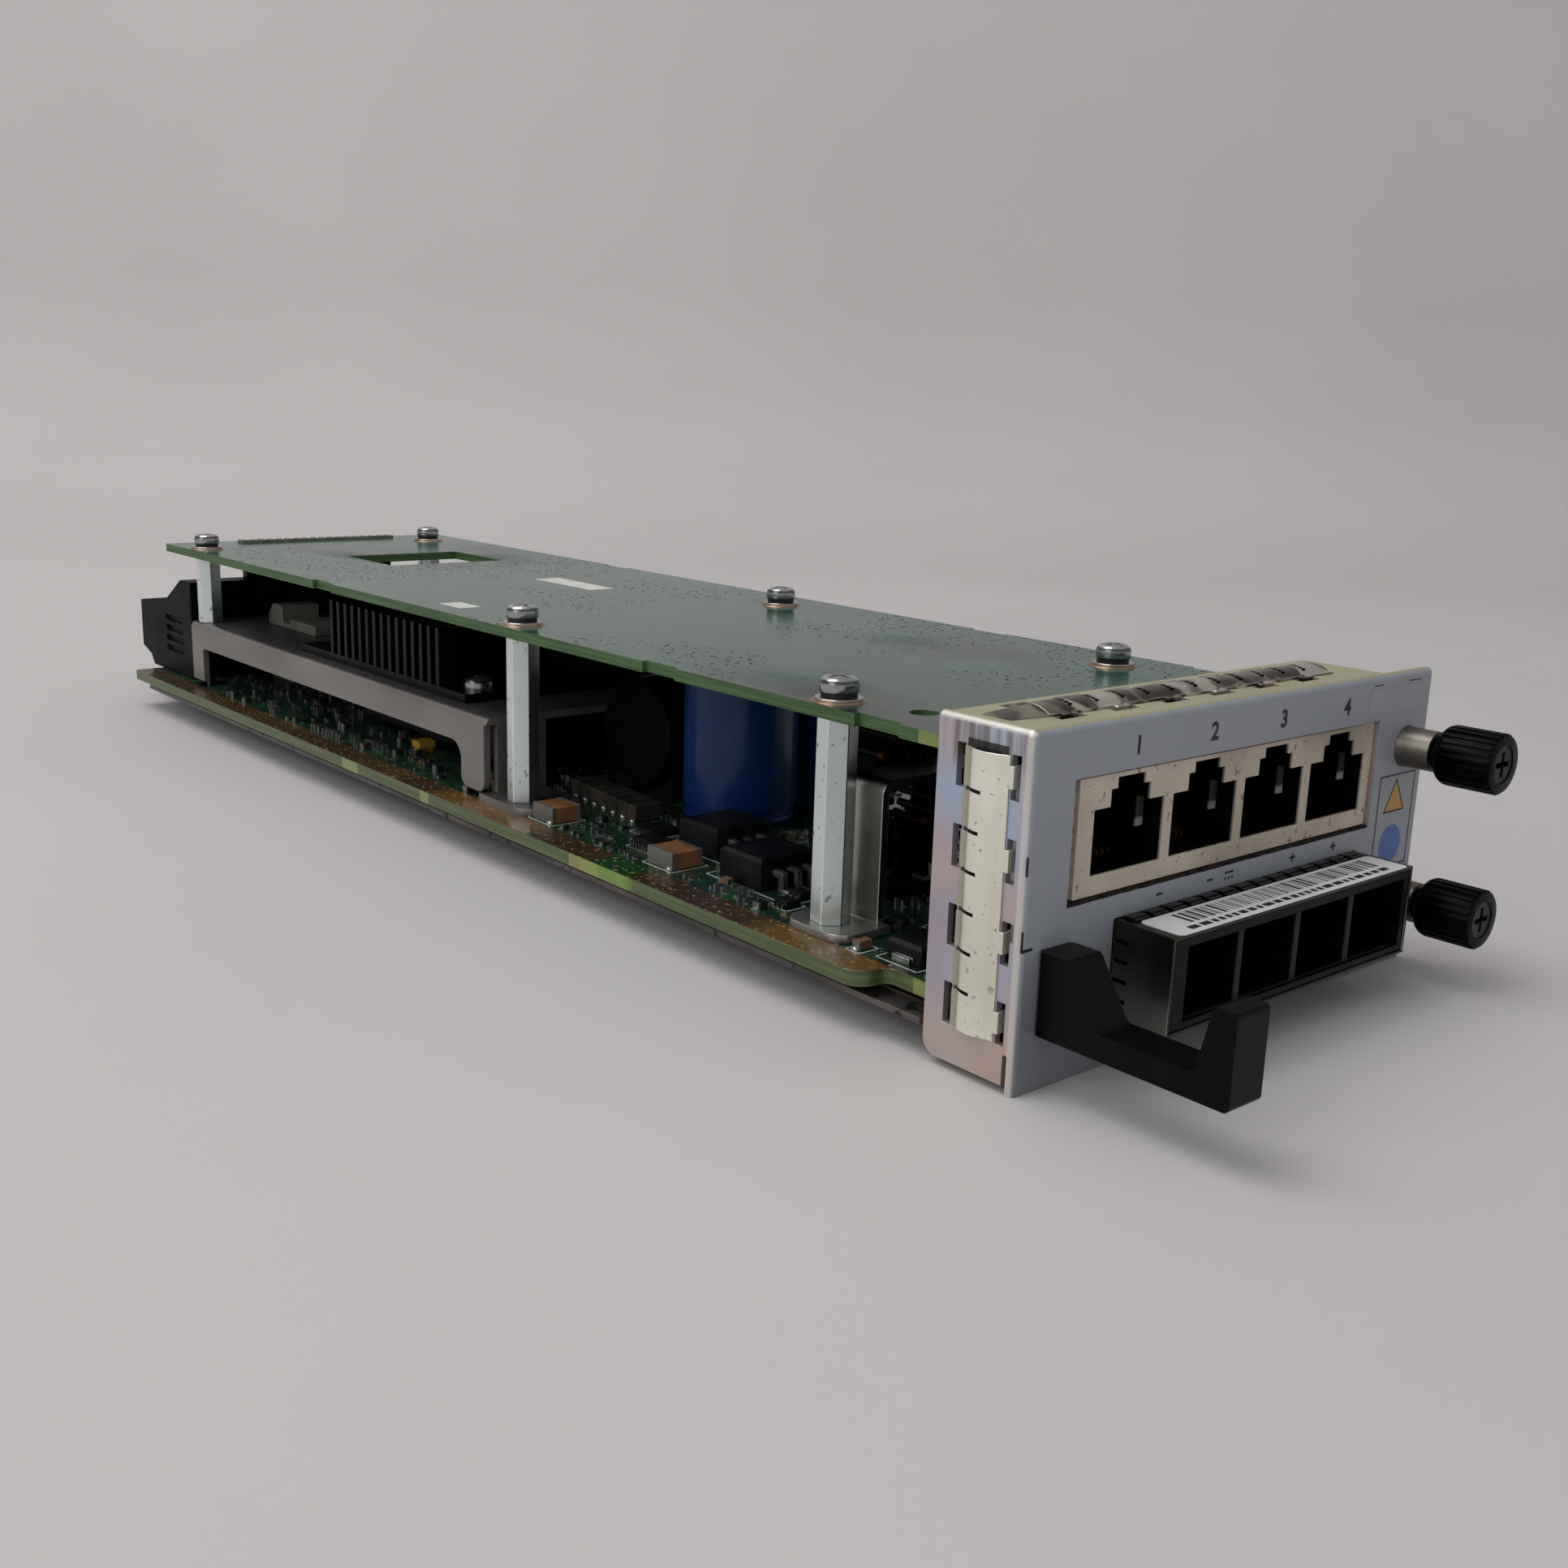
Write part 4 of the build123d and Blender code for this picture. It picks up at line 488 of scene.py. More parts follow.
# Conductive foam: a crumpled black-brown strip pressed between the panel's edge and
# the shell, along the bottom of the jack's opening.
foam_black = surface(
    "contact_foam", "0c0a08", "2a231b", grain=900.0, rough=(0.6, 0.8), relief=0.9, pits=1400.0, shine=0.2,
)
foam = bmesh.new()
random.seed(3)
FOAM_BOTTOM, FOAM_BACK = 20.32, 0.95
FOAM_START, LAST_CRUMPLE, FOAM_END = 7.3, 67.3, 67.6
x = FOAM_START
while x < LAST_CRUMPLE:
    wide = random.uniform(0.7, 1.6)
    top = random.uniform(20.62, 20.78)
    add_box(
        foam, (x, random.uniform(0.12, 0.3), FOAM_BOTTOM), (min(x + wide + 0.1, FOAM_END), FOAM_BACK, top),
    )
    x += wide
shown("jack_foam", foam, foam_black.mat, slot="black_plastic")

# Power inlet: a dark plated shield round a black moulding with four blade bays.
# A white label lies on its top, printed with plain bars only.
smoke = surface("smoke_chrome", "2c2a27", "4c4943", grain=45.0, metal=0.95, rough=(0.16, 0.28), relief=0.05)
# The shield's top is darker near the panel; its side faces carry a painted reflection, lighter low down, and
# its front rim a painted highlight.
tint(smoke, both(smoke, facing(smoke, "Z"), between(smoke, "Y", -3.2, -0.05, soft=0.3)), "1b1917", 0.8)
tint(smoke, both(smoke, facing(smoke, "X"), between(smoke, "Z", 3.0, 6.5, soft=8.0)), "b5b1a8", 0.75)
tint(smoke, between(smoke, "Y", -8.6, -8.36, soft=0.04), "a19e96", 0.8)
flatten(finish(refined("inlet_shield", 0.1), smoke))
# Painted highlight: the front edges of the inlet's ribs are lightened.
rib_edge_highlight = both(
    black_moulding, between(black_moulding, "Y", -7.5, -7.1), between(black_moulding, "X", 19.0, 63.5),
)
tint(black_moulding, rib_edge_highlight, "2c2c2e", 0.8)
flatten(finish(refined("inlet_housing", 0.12), black_moulding))
SHIELD_TOP = 17.5
SCOOPS, FIRST_SCOOP_X, SCOOP_PITCH, SCOOP_WIDTH = 14, 16.8, 3.4, 2.7
SCOOP_STEPS = ((-2.1, -1.5, 17.5, 17.72), (-1.5, -0.7, 17.6, 17.86), (-0.7, -0.1, 17.55, 17.76))
scoops = bmesh.new()
for i in range(SCOOPS):
    x = FIRST_SCOOP_X + i * SCOOP_PITCH
    for y0, y1, low, high in SCOOP_STEPS:
        add_box(scoops, (x, y0, low), (x + SCOOP_WIDTH, y1, high))
bmesh.ops.bevel(
    scoops, geom=scoops.edges[:], offset=0.00008, affect="EDGES", segments=1, profile=0.5, material=-1,
)
shown("shield_fingers", scoops, smoke.mat, slot="dark_chrome")
blade_tin = surface("blade_tin", "8d8a84", "b5b2ab", grain=200.0, metal=0.9, rough=(0.25, 0.4))
finish(refined("inlet_blades", 0.15), blade_tin)
white_label = surface("white_label", "e4e4e5", "eeeeef", grain=150.0, rough=(0.35, 0.5), relief=0.02)
label = bmesh.new()
add_box(label, (17.0, -8.1, SHIELD_TOP), (64.3, -2.2, 17.56))
corners = [e for e in label.edges if abs((e.verts[0].co - e.verts[1].co).z) > 1e-5]
bmesh.ops.bevel(
    label, geom=corners, offset=0.0008, affect="EDGES", segments=4, profile=0.5, material=-1,
)
shown("inlet_label", label, white_label.mat, slot="pale_plastic")
bars = bmesh.new()
random.seed(11)
TALL_START, SHORT_START, BARS_END = 22.0, 20.0, 61.0
BAR_BOTTOM, BAR_TOP = 17.555, 17.57
x = TALL_START
while x < BARS_END:
    wide = random.choice((0.2, 0.2, 0.35, 0.55))
    add_box(bars, (x, -5.7, BAR_BOTTOM), (x + wide, -2.8, BAR_TOP))
    x += wide + random.choice((0.25, 0.4, 0.6))
x = SHORT_START
while x < BARS_END:
    wide = random.choice((0.8, 1.2, 1.7))
    add_box(bars, (x, -7.3, BAR_BOTTOM), (x + wide, -6.4, BAR_TOP))
    x += wide + 0.5
shown("inlet_label_bars", bars, ink.mat, slot="black_plastic")

# Pull handle: one black glass-filled moulding, screwed on from behind the panel.
# Its surface is finely grained and a little shiny where fingers rub it.
grip = surface(
    "grip_plastic", "040406", "070709", grain=110.0, rough=(0.24, 0.36), relief=0.25, pits=2600.0, shine=0.1,
)
tint(grip, spots(grip, 60.0, 0.6, 0.75), "0d0e11", 0.6)
flatten(finish(refined("pull_handle"), grip))


def outside(look, mask):
    """Where the mask doesn't hold."""
    turn = look.nodes.new("ShaderNodeMath")
    turn.operation = "SUBTRACT"
    turn.inputs[0].default_value = 1.0
    look.links.new(mask, turn.inputs[1])
    return turn.outputs["Value"]


bright = surface("bright_screw", "9b9d9b", "d5d7d4", grain=220.0, metal=0.95, rough=(0.12, 0.22), relief=0.05)
# Painted reflections on the screw heads: a dark band round the shoulder, a bright one round the rim.
tint(bright, outside(bright, facing(bright, "Z", 0.66)), "333536", 0.85)
tint(bright, outside(bright, facing(bright, "Z", 0.22)), "a9acab", 0.85)
tint(bright, both(bright, facing(bright, "Z", 0.97), spots(bright, 500.0, 0.45, 0.6)), "6a6c6b", 0.7)
finish(refined("handle_screw", 0.05, segments=1), bright)

# Captive thumbscrews: a black fluted grip moulded on a steel screw, which slides and
# turns in a nickel ferrule riveted to the panel. Each part rides on its own body.
nickel = surface("nickel_ferrule", "66625a", "88837b", grain=160.0, metal=0.95, rough=(0.3, 0.42))
knob_black = surface(
    "knob_plastic", "020203", "050506", grain=160.0, rough=(0.24, 0.38), relief=0.15, pits=2400.0, shine=0.07,
)
dark_screw = surface("dark_screw", "1a1a1c", "2b2b2e", grain=300.0, metal=0.6, rough=(0.35, 0.5))
for side in ("upper", "lower"):
    finish(refined(side + "_ferrule", 0.08), nickel)
    finish(refined(side + "_knob", 0.06, segments=1, body=side + "_spin"), knob_black)
    finish(refined(side + "_knob_screw", 0.05, segments=1, body=side + "_spin"), dark_screw)
    finish(refined(side + "_retaining_ring", body=side + "_slide"), nickel)

# Main board: eight-layer glass laminate, 2 mm thick, under a dark green mask.
# A bare copper strip along its left edge runs in the chassis guide.
STRIP_EDGE_X = 2.6
lower_mask = surface(
    "lower_board", "0c2116", "163424", grain=120.0, rough=(0.22, 0.4), relief=0.1, pits=600.0, coat=0.3,
)
tint(lower_mask, spots(lower_mask, 260.0, 0.56, 0.6), "1f4a30", 0.7)
tint(lower_mask, spots(lower_mask, 1300.0, 0.68, 0.71), "a9a58f", 0.8)
strip = both(lower_mask, facing(lower_mask, "Z"), between(lower_mask, "X", -3.0, STRIP_EDGE_X, soft=0.15))
tint(lower_mask, strip, "35281a")
tint(lower_mask, both(lower_mask, strip, spots(lower_mask, 40.0, 0.5, 0.66)), "4d3c22", 0.8)
for y, reach in ((32.0, 9.0), (112.0, 12.0)):
    tint(
        lower_mask, both(lower_mask, strip, between(lower_mask, "Y", y - reach, y + reach, soft=5.0)),
        "6b5026", 0.75,
    )
tint(lower_mask, both(lower_mask, strip, between(lower_mask, "Y", 70.0, 78.6, soft=0.4)), "0f3d1f")
tint(lower_mask, both(lower_mask, strip, spots(lower_mask, 1500.0, 0.62, 0.68)), "c5a86d", 0.7)


def laminate(look, low, high):
    """Pale glass layers on a board's cut edge, with lighter patches along it."""
    edge = outside(look, facing(look, "Z", 0.5))
    tint(look, edge, low)
    tint(look, both(look, edge, spots(look, 2600.0, 0.45, 0.6, stretch=(0.02, 0.02, 1))), high, 0.55)
    tint(
        look, both(look, edge, spots(look, 60.0, 0.755, 0.76, stretch=(1, 1, 0.05), detail=0.0)), "98a25c",
        0.5,
    )
    matte(look, edge, 0.45)


laminate(lower_mask, "3f4c26", "5c6b34")
cut_edge = outside(lower_mask, facing(lower_mask, "Z", 0.5))
tint(lower_mask, both(lower_mask, cut_edge, between(lower_mask, "Y", 78.0, 84.2, soft=0.1)), "8a8650", 0.8)
tint(lower_mask, both(lower_mask, cut_edge, between(lower_mask, "Y", 70.3, 77.9, soft=2.5)), "78963c", 0.7)
flatten(finish(refined("main_board", 0.08, segments=1), lower_mask))

# Tray under the board: a thin steel plate with a clear film, tied to the panel's
# lower tabs by two rivets and to the board by countersunk screws through spacers.
tray = surface("tray_steel", "4b4746", "716b69", grain=70.0, metal=0.8, rough=(0.3, 0.44), relief=0.1)
tint(tray, spots(tray, 420.0, 0.6, 0.68), "0d0c0c", 0.85)
finish(refined("base_plate", 0.06, segments=1), tray)
film = surface("clear_film", "2b2419", "3b3324", grain=90.0, rough=(0.25, 0.4))
finish(refined("insulating_film"), film)
zinc = surface("zinc_fastener", "8c9390", "b6beb9", grain=150.0, metal=0.9, rough=(0.2, 0.34), relief=0.06)
for node in ("panel_rivets", "board_spacers", "base_screws"):
    finish(refined(node, 0.05, segments=1), zinc)

# Small parts: ceramic resistors and capacitors soldered all over the main board.
# Each has a dark or tan body between two tinned ends and sits on bright solder.
BOARD_TOP = 8.05
STANDING = (
    "converter_brick", "brick_pins", "inlet_housing", "bulk_capacitor", "second_capacitor",
    "capacitor_saddle", "choke_base", "backplane_plug", "tan_capacitors", "grey_capacitors",
    "power_transistors", "control_chips", "clamp_diode", "input_inductor", "base_screws",
)


def solid_boxes(node):
    """The box round each separate solid of a CAD node, in panel millimetres."""
    shape = bmesh.new()
    shape.from_mesh(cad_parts[node].data)
    bmesh.ops.remove_doubles(shape, verts=shape.verts, dist=1e-6)
    left, found = set(shape.verts), []
    while left:
        stack, seen = [left.pop()], []
        while stack:
            vert = stack.pop()
            seen.append((vert.co - corner) * 1000)
            for edge in vert.link_edges:
                other = edge.other_vert(vert)
                if other in left:
                    left.remove(other)
                    stack.append(other)
        found.append(tuple(
            (min(p[i] for p in seen), max(p[i] for p in seen)) for i in range(3)
        ))
    shape.free()
    return found


FRONT_FEET = [(x, (30.0, 42.6)) for x in ((1.8, 11.4), (52.7, 62.4))]
MIDDLE_FEET = [(x, (103.6, 118.0)) for x in ((2.0, 14.2), (49.9, 62.1))]
REAR_FEET = [(x, (231.0, 242.6)) for x in ((20.0, 28.0), (36.0, 44.0))]
taken = FRONT_FEET + MIDDLE_FEET + REAR_FEET
for node in STANDING:
    taken.extend(spread[:2] for spread in solid_boxes(node) if spread[2][0] < BOARD_TOP + 1)
CLEAR = 1.3


def free_place(x, y):
    """True if no larger part stands close to this place on the main board."""
    return all(
        not (a[0] - CLEAR < x < a[1] + CLEAR and b[0] - CLEAR < y < b[1] + CLEAR) for a, b in taken
    )


ROWS, FIRST_ROW_Y, ROW_STEP = 88, 17.5, 2.6
COLUMNS, FIRST_COLUMN_X, COLUMN_STEP = 24, 4.3, 2.65
STRAY = 0.5
SIZES = ((1.0, 0.5, 0.35), (1.6, 0.8, 0.45), (1.6, 0.8, 0.8), (2.0, 1.25, 0.9))
BODY_SHARE, END_SHARE, END_SWELL = 0.6, 0.2, 1.02
SOLDER_REACH, SOLDER_RADIUS = 1.12, 0.00045
TAN_BEFORE, SPARSE_FROM = 118, 120
EMPTY_PLACES, TAN_PARTS, THINNED_OUT = 0.3, 0.14, 0.45
random.seed(7)
chips = bmesh.new()
joints = bmesh.new()


def standing(at, long_side, short_side, height, lengthwise, slot):
    """A box that stands on the board round one place, lengthwise or across."""
    across_x, across_y = (long_side, short_side) if lengthwise else (short_side, long_side)
    low = (at[0] - across_x / 2, at[1] - across_y / 2, BOARD_TOP)
    add_box(chips, low, (at[0] + across_x / 2, at[1] + across_y / 2, BOARD_TOP + height), slot)


for row in range(ROWS):
    for column in range(COLUMNS):
        x = FIRST_COLUMN_X + column * COLUMN_STEP + random.uniform(-STRAY, STRAY)
        y = FIRST_ROW_Y + row * ROW_STEP + random.uniform(-STRAY, STRAY)
        bare_corner = x > 62 and y < 26
        if random.random() < EMPTY_PLACES or not free_place(x, y) or bare_corner:
            continue
        length, wide, tall = random.choice(SIZES)
        lengthwise = random.choice((True, False))
        tone = 1 if y < TAN_BEFORE and random.random() < TAN_PARTS else 0
        if y > SPARSE_FROM and random.random() < THINNED_OUT:
            continue
        standing((x, y), length * BODY_SHARE, wide, tall, lengthwise, tone)
        for way in (-1, 1):
            reach = way * length / 2
            shift = reach * (1 - END_SHARE)
            end = (x + shift, y) if lengthwise else (x, y + shift)
            standing(end, length * END_SHARE, wide * END_SWELL, tall * END_SWELL, lengthwise, 2)
            if y > SPARSE_FROM:
                continue
            shift = reach * SOLDER_REACH
            foot = mm(x + shift, y, BOARD_TOP) if lengthwise else mm(x, y + shift, BOARD_TOP)
            blob = bmesh.ops.create_icosphere(
                joints, subdivisions=1, radius=wide * SOLDER_RADIUS, matrix=Matrix.Translation(foot),
            )
            bmesh.ops.scale(joints, verts=blob["verts"], vec=(1, 1, 0.6), space=Matrix.Translation(-foot))
ceramic_dark = surface("ceramic_dark", "121314", "26272a", grain=400.0, rough=(0.35, 0.5))
ceramic_tan = surface("ceramic_tan", "5f4630", "856445", grain=300.0, rough=(0.35, 0.5))
solder = surface("solder", "8f908c", "c4c5c0", grain=500.0, metal=0.9, rough=(0.14, 0.3), relief=0.1)
shown("small_ceramics", chips, ceramic_dark.mat, ceramic_tan.mat, solder.mat, slot="dark_ferrite")
shown("solder_joints", joints, solder.mat, slot="tinned_metal")

# Part frames: white ink, screen-printed on the main board's mask in one thin
# rectangle round the place of each larger part.
silk = surface("silk_ink", "c0c2bc", "d2d4ce", grain=400.0, rough=(0.5, 0.65))
SILK_GAP, SILK_LINE, SILK_THICK = 0.7, 0.15, 0.03
frames = bmesh.new()
for node in ("tan_capacitors", "power_transistors", "control_chips", "clamp_diode", "input_inductor"):
    for spread in solid_boxes(node):
        (x0, x1), (y0, y1) = ((low - SILK_GAP, high + SILK_GAP) for low, high in spread[:2])
        for a, b in (
            ((x0, y0), (x1, y0 + SILK_LINE)), ((x0, y1 - SILK_LINE), (x1, y1)),
            ((x0, y0), (x0 + SILK_LINE, y1)), ((x1 - SILK_LINE, y0), (x1, y1)),
        ):
            add_box(frames, (*a, BOARD_TOP), (*b, BOARD_TOP + SILK_THICK))
shown("board_silk_frames", frames, silk.mat, slot="pale_plastic")

# Power parts on the main board: ceramic blocks with tinned ends, moulded transistors
# and a diode with bright tabs, chips with bent legs, an amber moulded capacitor and
# a shielded inductor.
ends = bmesh.new()
for x, y, z in solid_boxes("tan_capacitors"):
    cap = (x[1] - x[0]) * 0.13
    for x0, x1 in ((x[0] - 0.04, x[0] + cap), (x[1] - cap, x[1] + 0.04)):
        add_box(ends, (x0, y[0] - 0.03, z[0]), (x1, y[1] + 0.03, z[1] + 0.02))
feet = bmesh.new()
for x, y, z in solid_boxes("grey_capacitors") + solid_boxes("tan_capacitors"):
    for at_x in (x[0] - 0.15, x[1] + 0.15):
        foot = mm(at_x, y[0] + 0.7, z[0] + 0.1)
        blob = bmesh.ops.create_icosphere(
            feet, subdivisions=2, radius=0.00055, matrix=Matrix.Translation(foot),
        )
        bmesh.ops.scale(feet, verts=blob["verts"], vec=(0.8, 1.3, 0.8), space=Matrix.Translation(-foot))
shown("capacitor_fillets", feet, solder.mat, slot="tinned_metal")
dull_tin = surface("dull_tin", "6b6862", "8b8780", grain=160.0, metal=0.5, rough=(0.3, 0.42))
shown("capacitor_ends", ends, dull_tin.mat, slot="tinned_metal")
tan_block = surface("tan_block", "6f4a2c", "8f633c", grain=200.0, rough=(0.3, 0.45))
grey_block = surface("grey_block", "2a2622", "3b3630", grain=200.0, rough=(0.35, 0.5))
flatten(finish(refined("tan_capacitors", 0.15), tan_block))
flatten(finish(refined("grey_capacitors", 0.15), grey_block))
epoxy = surface(
    "black_epoxy", "09090b", "121315", grain=260.0, rough=(0.4, 0.56), relief=0.2, pits=1800.0, shine=0.2,
)
flatten(finish(refined("control_chips", 0.1), epoxy))


def repaint(piece, slot, test):
    """Moves the faces whose middle passes the test to another material slot."""
    for face in piece.data.polygons:
        if test((face.center - corner) * 1000):
            face.material_index = slot


moulded = {node: solid_boxes(node) for node in ("power_transistors", "clamp_diode")}
pack = finish(refined("power_transistors", 0.12), epoxy, solder)
BODY_WIDTH, BODY_FRONT, BODY_BACK = 10.0, 3.4, 12.4
bodies = [
    (x[0] - 0.1, x[0] + BODY_WIDTH + 0.1, y[0] + BODY_FRONT - 0.05, y[0] + BODY_BACK + 0.05)
    for x, y, z in moulded["power_transistors"]
]
repaint(pack, 1, lambda p: not any(a <= p.x <= b and c <= p.y <= d for a, b, c, d in bodies))
flatten(pack)
HALF_LEAD = 0.6
LEAD_BENDS = ((1.7, 3.5, 2.3, 2.9), (1.2, 1.9, 0.5, 2.9), (-0.9, 1.6, 0.05, 0.6))
leads = bmesh.new()
for x, y, z in moulded["power_transistors"]:
    for lead in (2.46, 5.0, 7.54):
        x0, x1 = x[0] + lead - HALF_LEAD, x[0] + lead + HALF_LEAD
        for y0, y1, low, high in LEAD_BENDS:
            add_box(leads, (x0, y[0] + y0, z[0] + low), (x1, y[0] + y1, z[0] + high))
bmesh.ops.bevel(leads, geom=leads.edges[:], offset=0.0002, affect="EDGES", segments=2, material=-1)
shown("transistor_leads", leads, solder.mat, slot="tinned_metal")
diode_box = moulded["clamp_diode"][0]
diode = finish(refined("clamp_diode", 0.1), epoxy, solder)
TAB = 0.55
repaint(diode, 1, lambda p: p.x < diode_box[0][0] + TAB or p.x > diode_box[0][1] - TAB)
flatten(diode)
LEG_PITCH, HALF_LEG, USUAL_HEIGHT = 0.65, 0.13, 1.5
LEG_BENDS = ((0, 0.45, 0.7, 0.85), (0.35, 0.5, 0.1, 0.85), (0.35, 1.0, 0.0, 0.15))
legs = bmesh.new()
for x, y, z in solid_boxes("control_chips"):
    count = max(3, int((y[1] - y[0]) / LEG_PITCH))
    for i in range(count):
        at_y = y[0] + (i + 0.5) * (y[1] - y[0]) / count
        for edge, way in ((x[0], -1), (x[1], 1)):
            for near, far, low, high in LEG_BENDS:
                x0, x1 = sorted((edge + way * near, edge + way * far))
                z0, z1 = (BOARD_TOP + rise * (z[1] - z[0]) / USUAL_HEIGHT for rise in (low, high))
                add_box(legs, (x0, at_y - HALF_LEG, z0), (x1, at_y + HALF_LEG, z1 + 0.05))
shown("chip_legs", legs, solder.mat, slot="tinned_metal")
amber_part = bmesh.new()
add_box(amber_part, (10.4, 153.4, 9.0), (13.6, 156.2, 10.2))
add_box(amber_part, (10.7, 153.8, BOARD_TOP), (13.3, 155.8, 9.0))
amber_case = surface("amber_case", "a47a22", "c4953a", grain=200.0, rough=(0.3, 0.45))
shown("amber_capacitor", amber_part, amber_case.mat, slot="tan_ceramic")
ferrite = surface("ferrite", "090a0b", "141517", grain=180.0, rough=(0.65, 0.85), relief=0.25, shine=0.05)
flatten(finish(refined("input_inductor", 0.2), ferrite))

# Capacitors: aluminium cans in shrunk sleeves, with a paler stripe and no print.
# Two blue ones stand on their own lead wires, a black one lies in a moulded cradle.
sleeve = surface(
    "blue_sleeve", "0e2a5a", "15386f", grain=50.0, rough=(0.2, 0.32), relief=0.05, coat=0.1, shine=0.25,
)
tint(sleeve, between(sleeve, "X", 20.0, 22.0, soft=0.3), "2f4f7f", 0.8)
flatten(finish(refined("bulk_capacitor"), sleeve))
flatten(finish(refined("second_capacitor"), sleeve))
black_sleeve = surface(
    "black_sleeve", "050506", "09090b", grain=60.0, rough=(0.24, 0.34), relief=0.04, shine=0.12,
)
# Painted shade: the lying can's end faces are darker, and matte.
can_end = facing(black_sleeve, "X", 0.7)
tint(black_sleeve, can_end, "020203")
matte(black_sleeve, can_end, 0.9)
flatten(finish(refined("lying_capacitor"), black_sleeve))
flatten(finish(refined("capacitor_saddle", 0.2), epoxy))

# Choke: lacquered copper wire wound on an upright ferrite ring on a moulded foot.
# The wire is dark, with painted glints of copper in patches along it.
copper = surface("lacquered_wire", "060404", "0e0907", grain=120.0, metal=0.1, rough=(0.42, 0.6), shine=0.12)
# Painted glints: copper-coloured patches on the dark wire.
tint(copper, spots(copper, 240.0, 0.62, 0.7, stretch=(1, 1, 0.4)), "6e3a1c", 0.7)
flatten(finish(refined("choke_core", 0.6), ferrite))
flatten(finish(refined("choke_winding", 0.42, segments=3), copper))
flatten(finish(refined("choke_base", 0.2), epoxy))

# Brackets: folded aluminium strips that carry the heatsink and steady the boards.
# The rear one is satin from tumbling; both have painted shade on their top faces, and the front one also on
# its faces that look along Y.
satin = surface(
    "satin_aluminium", "7b7674", "95908d", grain=80.0, stretch=(1, 0.3, 1), metal=0.7, rough=(0.38, 0.5),
    relief=0.12,
)
# Painted shade: the rear bracket's top faces are darkened.
tint(satin, facing(satin, "Z", 0.8), "3a3737", 0.75)
flatten(finish(refined("rear_bracket", 0.2), satin))
strip_steel = surface(
    "bright_strip", "8c8a87", "bcbab5", grain=70.0, metal=0.9, rough=(0.22, 0.36), relief=0.06,
)
# Painted shade: the front bracket's top faces are darkened, and its faces that look along Y.
tint(
    strip_steel, both(strip_steel, facing(strip_steel, "Z", 0.7), between(strip_steel, "Z", 20.0, 40.0)),
    "0a0a0b", 0.95,
)
tint(
    strip_steel, both(strip_steel, facing(strip_steel, "Y", 0.7), between(strip_steel, "Z", 10.0, 40.0)),
    "2c2b2a", 0.8,
)
flatten(finish(refined("front_bracket", 0.2), strip_steel))

# Heatsink: a black anodised extrusion with thin fins, screwed to the rear bracket.
# It cools the sealed converter brick below, which hangs on tinned pins.
anodised = surface(
    "black_anodised", "040507", "08090c", grain=90.0, rough=(0.3, 0.44), relief=0.08, shine=0.12,
)
flatten(finish(refined("heatsink", 0.08, segments=1), anodised))
flatten(finish(refined("converter_brick", 0.5), epoxy))
finish(refined("brick_pins"), solder)
flatten(finish(refined("heatsink_screws", 0.06, segments=1), bright))

# Standoffs: hexagonal zinc-plated steel rods, tapped at both ends.
# Pan head screws with split and flat washers hold the top board down on them.
hex_zinc = surface(
    "hex_zinc", "d2dedb", "f2faf8", grain=60.0, stretch=(1, 1, 0.25), metal=0.85, rough=(0.2, 0.34),
    relief=0.08,
)
tint(hex_zinc, spots(hex_zinc, 800.0, 0.66, 0.7), "6c706c", 0.7)
# Painted reflection: the standoffs' faces that look along Y are darker and greener.
tint(hex_zinc, facing(hex_zinc, "Y", 0.8), "5d6b66", 0.75)
for node in ("long_standoffs", "rear_standoffs"):
    flatten(finish(refined(node, 0.16), hex_zinc))
warm_washer = surface("warm_washer", "a0938a", "d0c6bc", grain=200.0, metal=0.9, rough=(0.16, 0.28))
finish(refined("flat_washers", 0.06, segments=1), warm_washer)
finish(refined("split_washers", 0.05, segments=1), dark_screw)
flatten(finish(refined("top_screws", 0.08), bright))

# Top board: thin glass laminate under a dusty, smudged green mask with dark specks.
# Two white fields are left blank, and a copper pad lies under each screw.
upper_mask = surface(
    "upper_board", "123f30", "1e4d3e", grain=14.0, rough=(0.1, 0.2), relief=0.02, pits=500.0, shine=0.32,
)
tint(upper_mask, spots(upper_mask, 30.0, 0.56, 0.76), "3f6858", 0.45)
tint(upper_mask, spots(upper_mask, 22.0, 0.56, 0.7, stretch=(1.8, 0.8, 1)), "0a2219", 0.9)
speckled = both(
    upper_mask, spots(upper_mask, 1100.0, 0.71, 0.72, detail=0.0), spots(upper_mask, 25.0, 0.5, 0.54),
)
tint(upper_mask, speckled, "020504", 0.95)
matte(upper_mask, speckled, 0.8)
matte(upper_mask, spots(upper_mask, 26.0, 0.6, 0.72, stretch=(1.8, 0.8, 1)), 0.3)
laminate(upper_mask, "36502c", "4f7040")
flatten(finish(refined("top_board", 0.06, segments=1), upper_mask))
TOP_FACE = 37.4
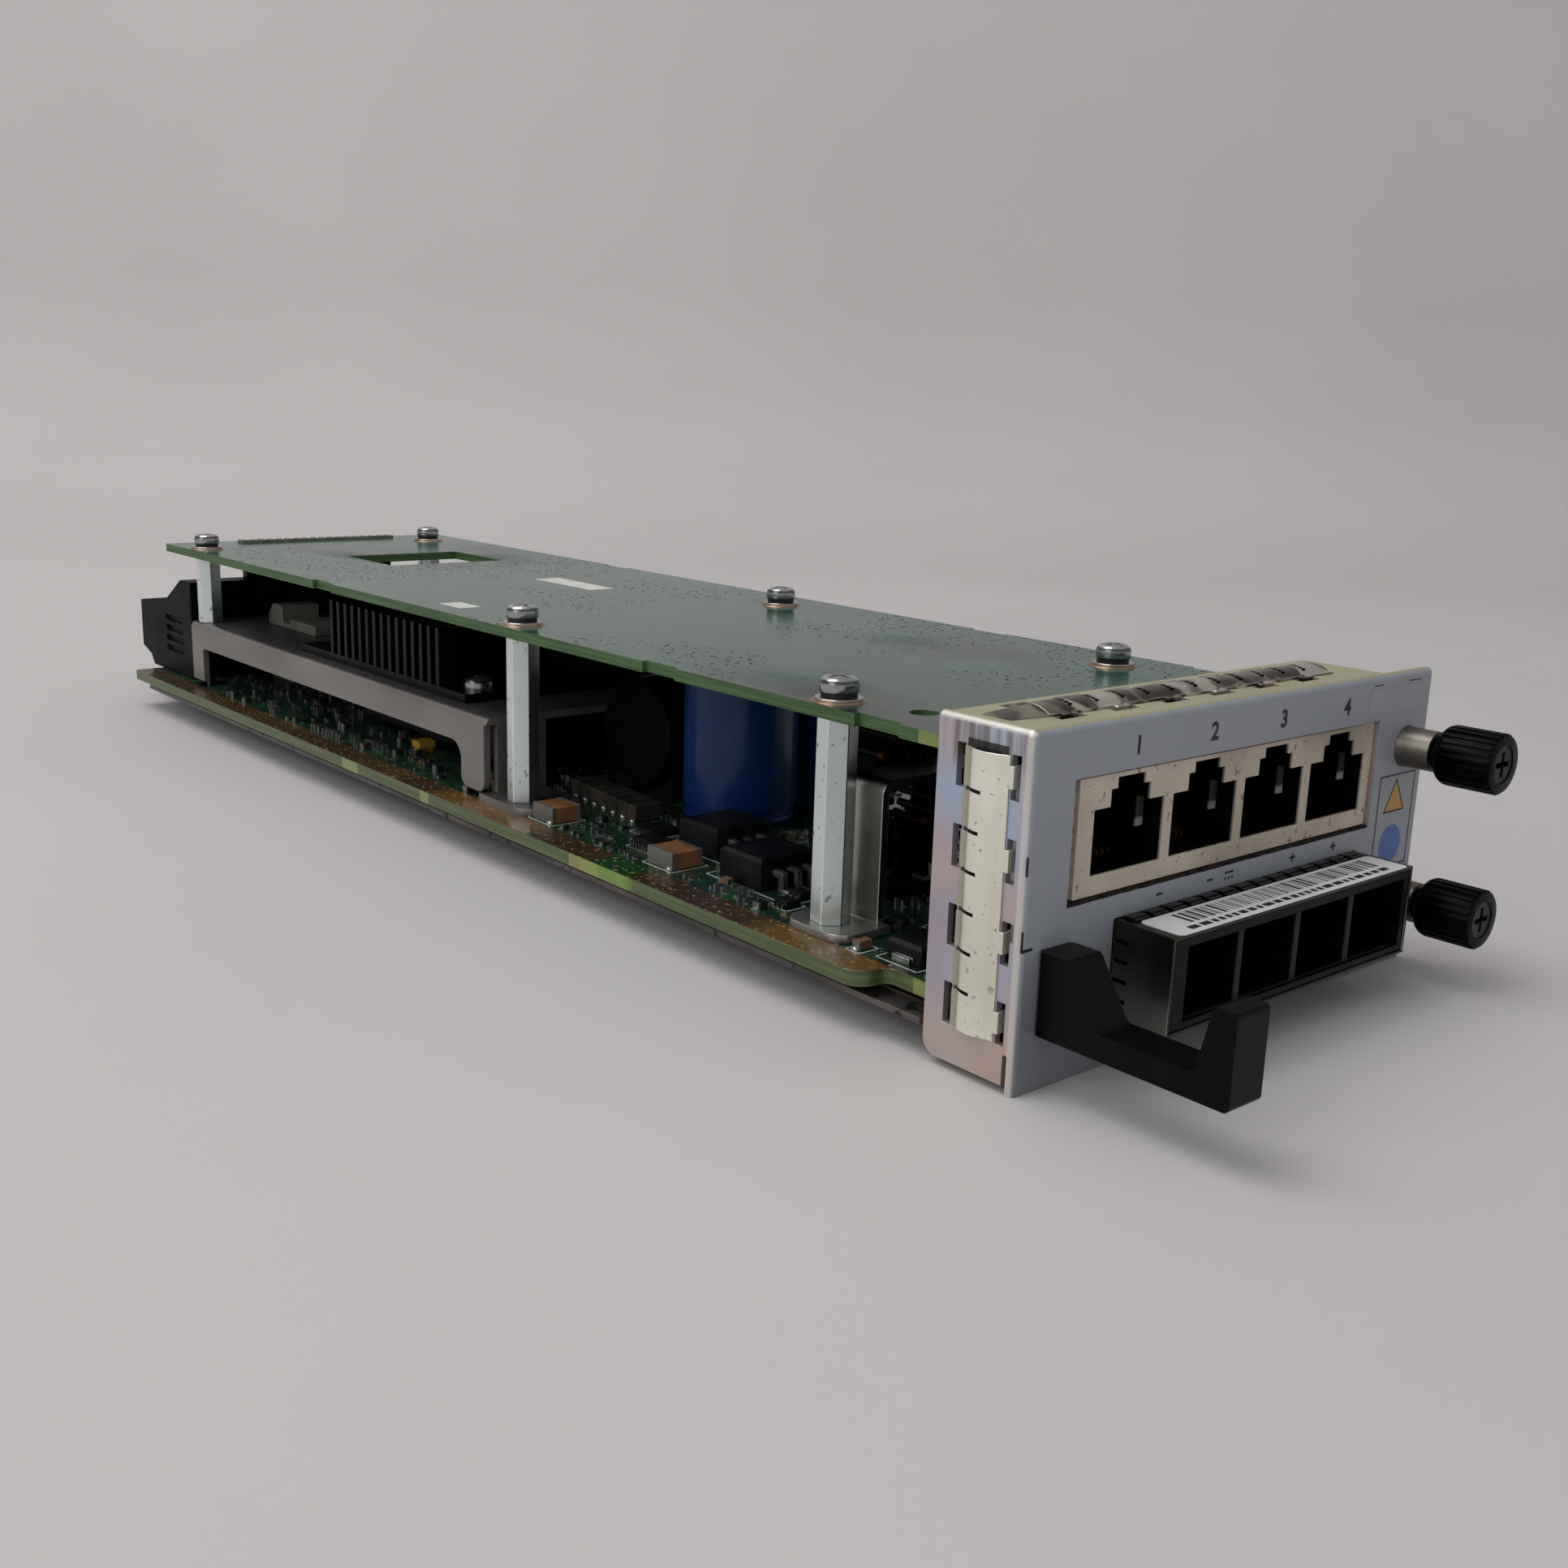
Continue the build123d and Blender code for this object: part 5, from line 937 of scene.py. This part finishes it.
SCREWS_X, SCREWS_Y = (5.9, 58.2), (36.5, 110.0, 238.7)
fields = bmesh.new()
add_box(fields, (39.6, 142.0, TOP_FACE), (44.8, 161.0, TOP_FACE + SILK_THICK))
add_box(fields, (6.4, 130.5, TOP_FACE), (10.4, 137.5, TOP_FACE + SILK_THICK))
shown("blank_silk_fields", fields, silk.mat, slot="pale_plastic")
pads = bmesh.new()
for y in SCREWS_Y:
    for x in SCREWS_X:
        bmesh.ops.create_cone(
            pads, cap_ends=True, segments=48, radius1=0.0035, radius2=0.0034, depth=0.00012,
            matrix=Matrix.Translation(mm(x, y, TOP_FACE + 0.05)),
        )
pad_copper = surface("screw_pad", "7d5f48", "b08d70", grain=300.0, metal=0.85, rough=(0.25, 0.4))
shown("screw_pads", pads, pad_copper.mat, slot="copper_wire")

# Rear header: a black body below the top board, its row of tinned pins soldered above.
# A grey flat chip is soldered to the top board near it.
ridge = bmesh.new()
add_box(ridge, (17.2, 247.5, TOP_FACE), (53.8, 250.1, TOP_FACE + 0.55))
flux = surface("header_flux", "55534a", "77756a", grain=500.0, rough=(0.35, 0.5), relief=0.6)
shown("header_flux", ridge, flux.mat, slot="tinned_metal")
finish(refined("header_pins", 0.1, segments=1), solder)
finish(refined("rear_header", 0.15), epoxy)
chip_grey = surface("chip_grey", "3f4145", "505257", grain=260.0, rough=(0.36, 0.5), relief=0.15, pits=1800.0)
finish(refined("top_board_chip", 0.15), chip_grey)

# Terminal block: a grey moulding that stands on the rear bracket,
# low in front and high behind.
pale = surface("pale_moulding", "55524d", "69655e", grain=150.0, rough=(0.4, 0.55), relief=0.15)
flatten(finish(refined("terminal_block", 0.3), pale))

# Backplane plug: a dark blue-black moulding with a stepped roof and slotted nose.
# Pairs of tinned leaves stand in its slots.
plug_black = surface(
    "plug_moulding", "07080c", "0c0e14", grain=120.0, rough=(0.34, 0.5), relief=0.15, shine=0.05,
)
flatten(finish(refined("backplane_plug", 0.3), plug_black))
finish(refined("plug_contacts", 0.08, segments=1), solder)
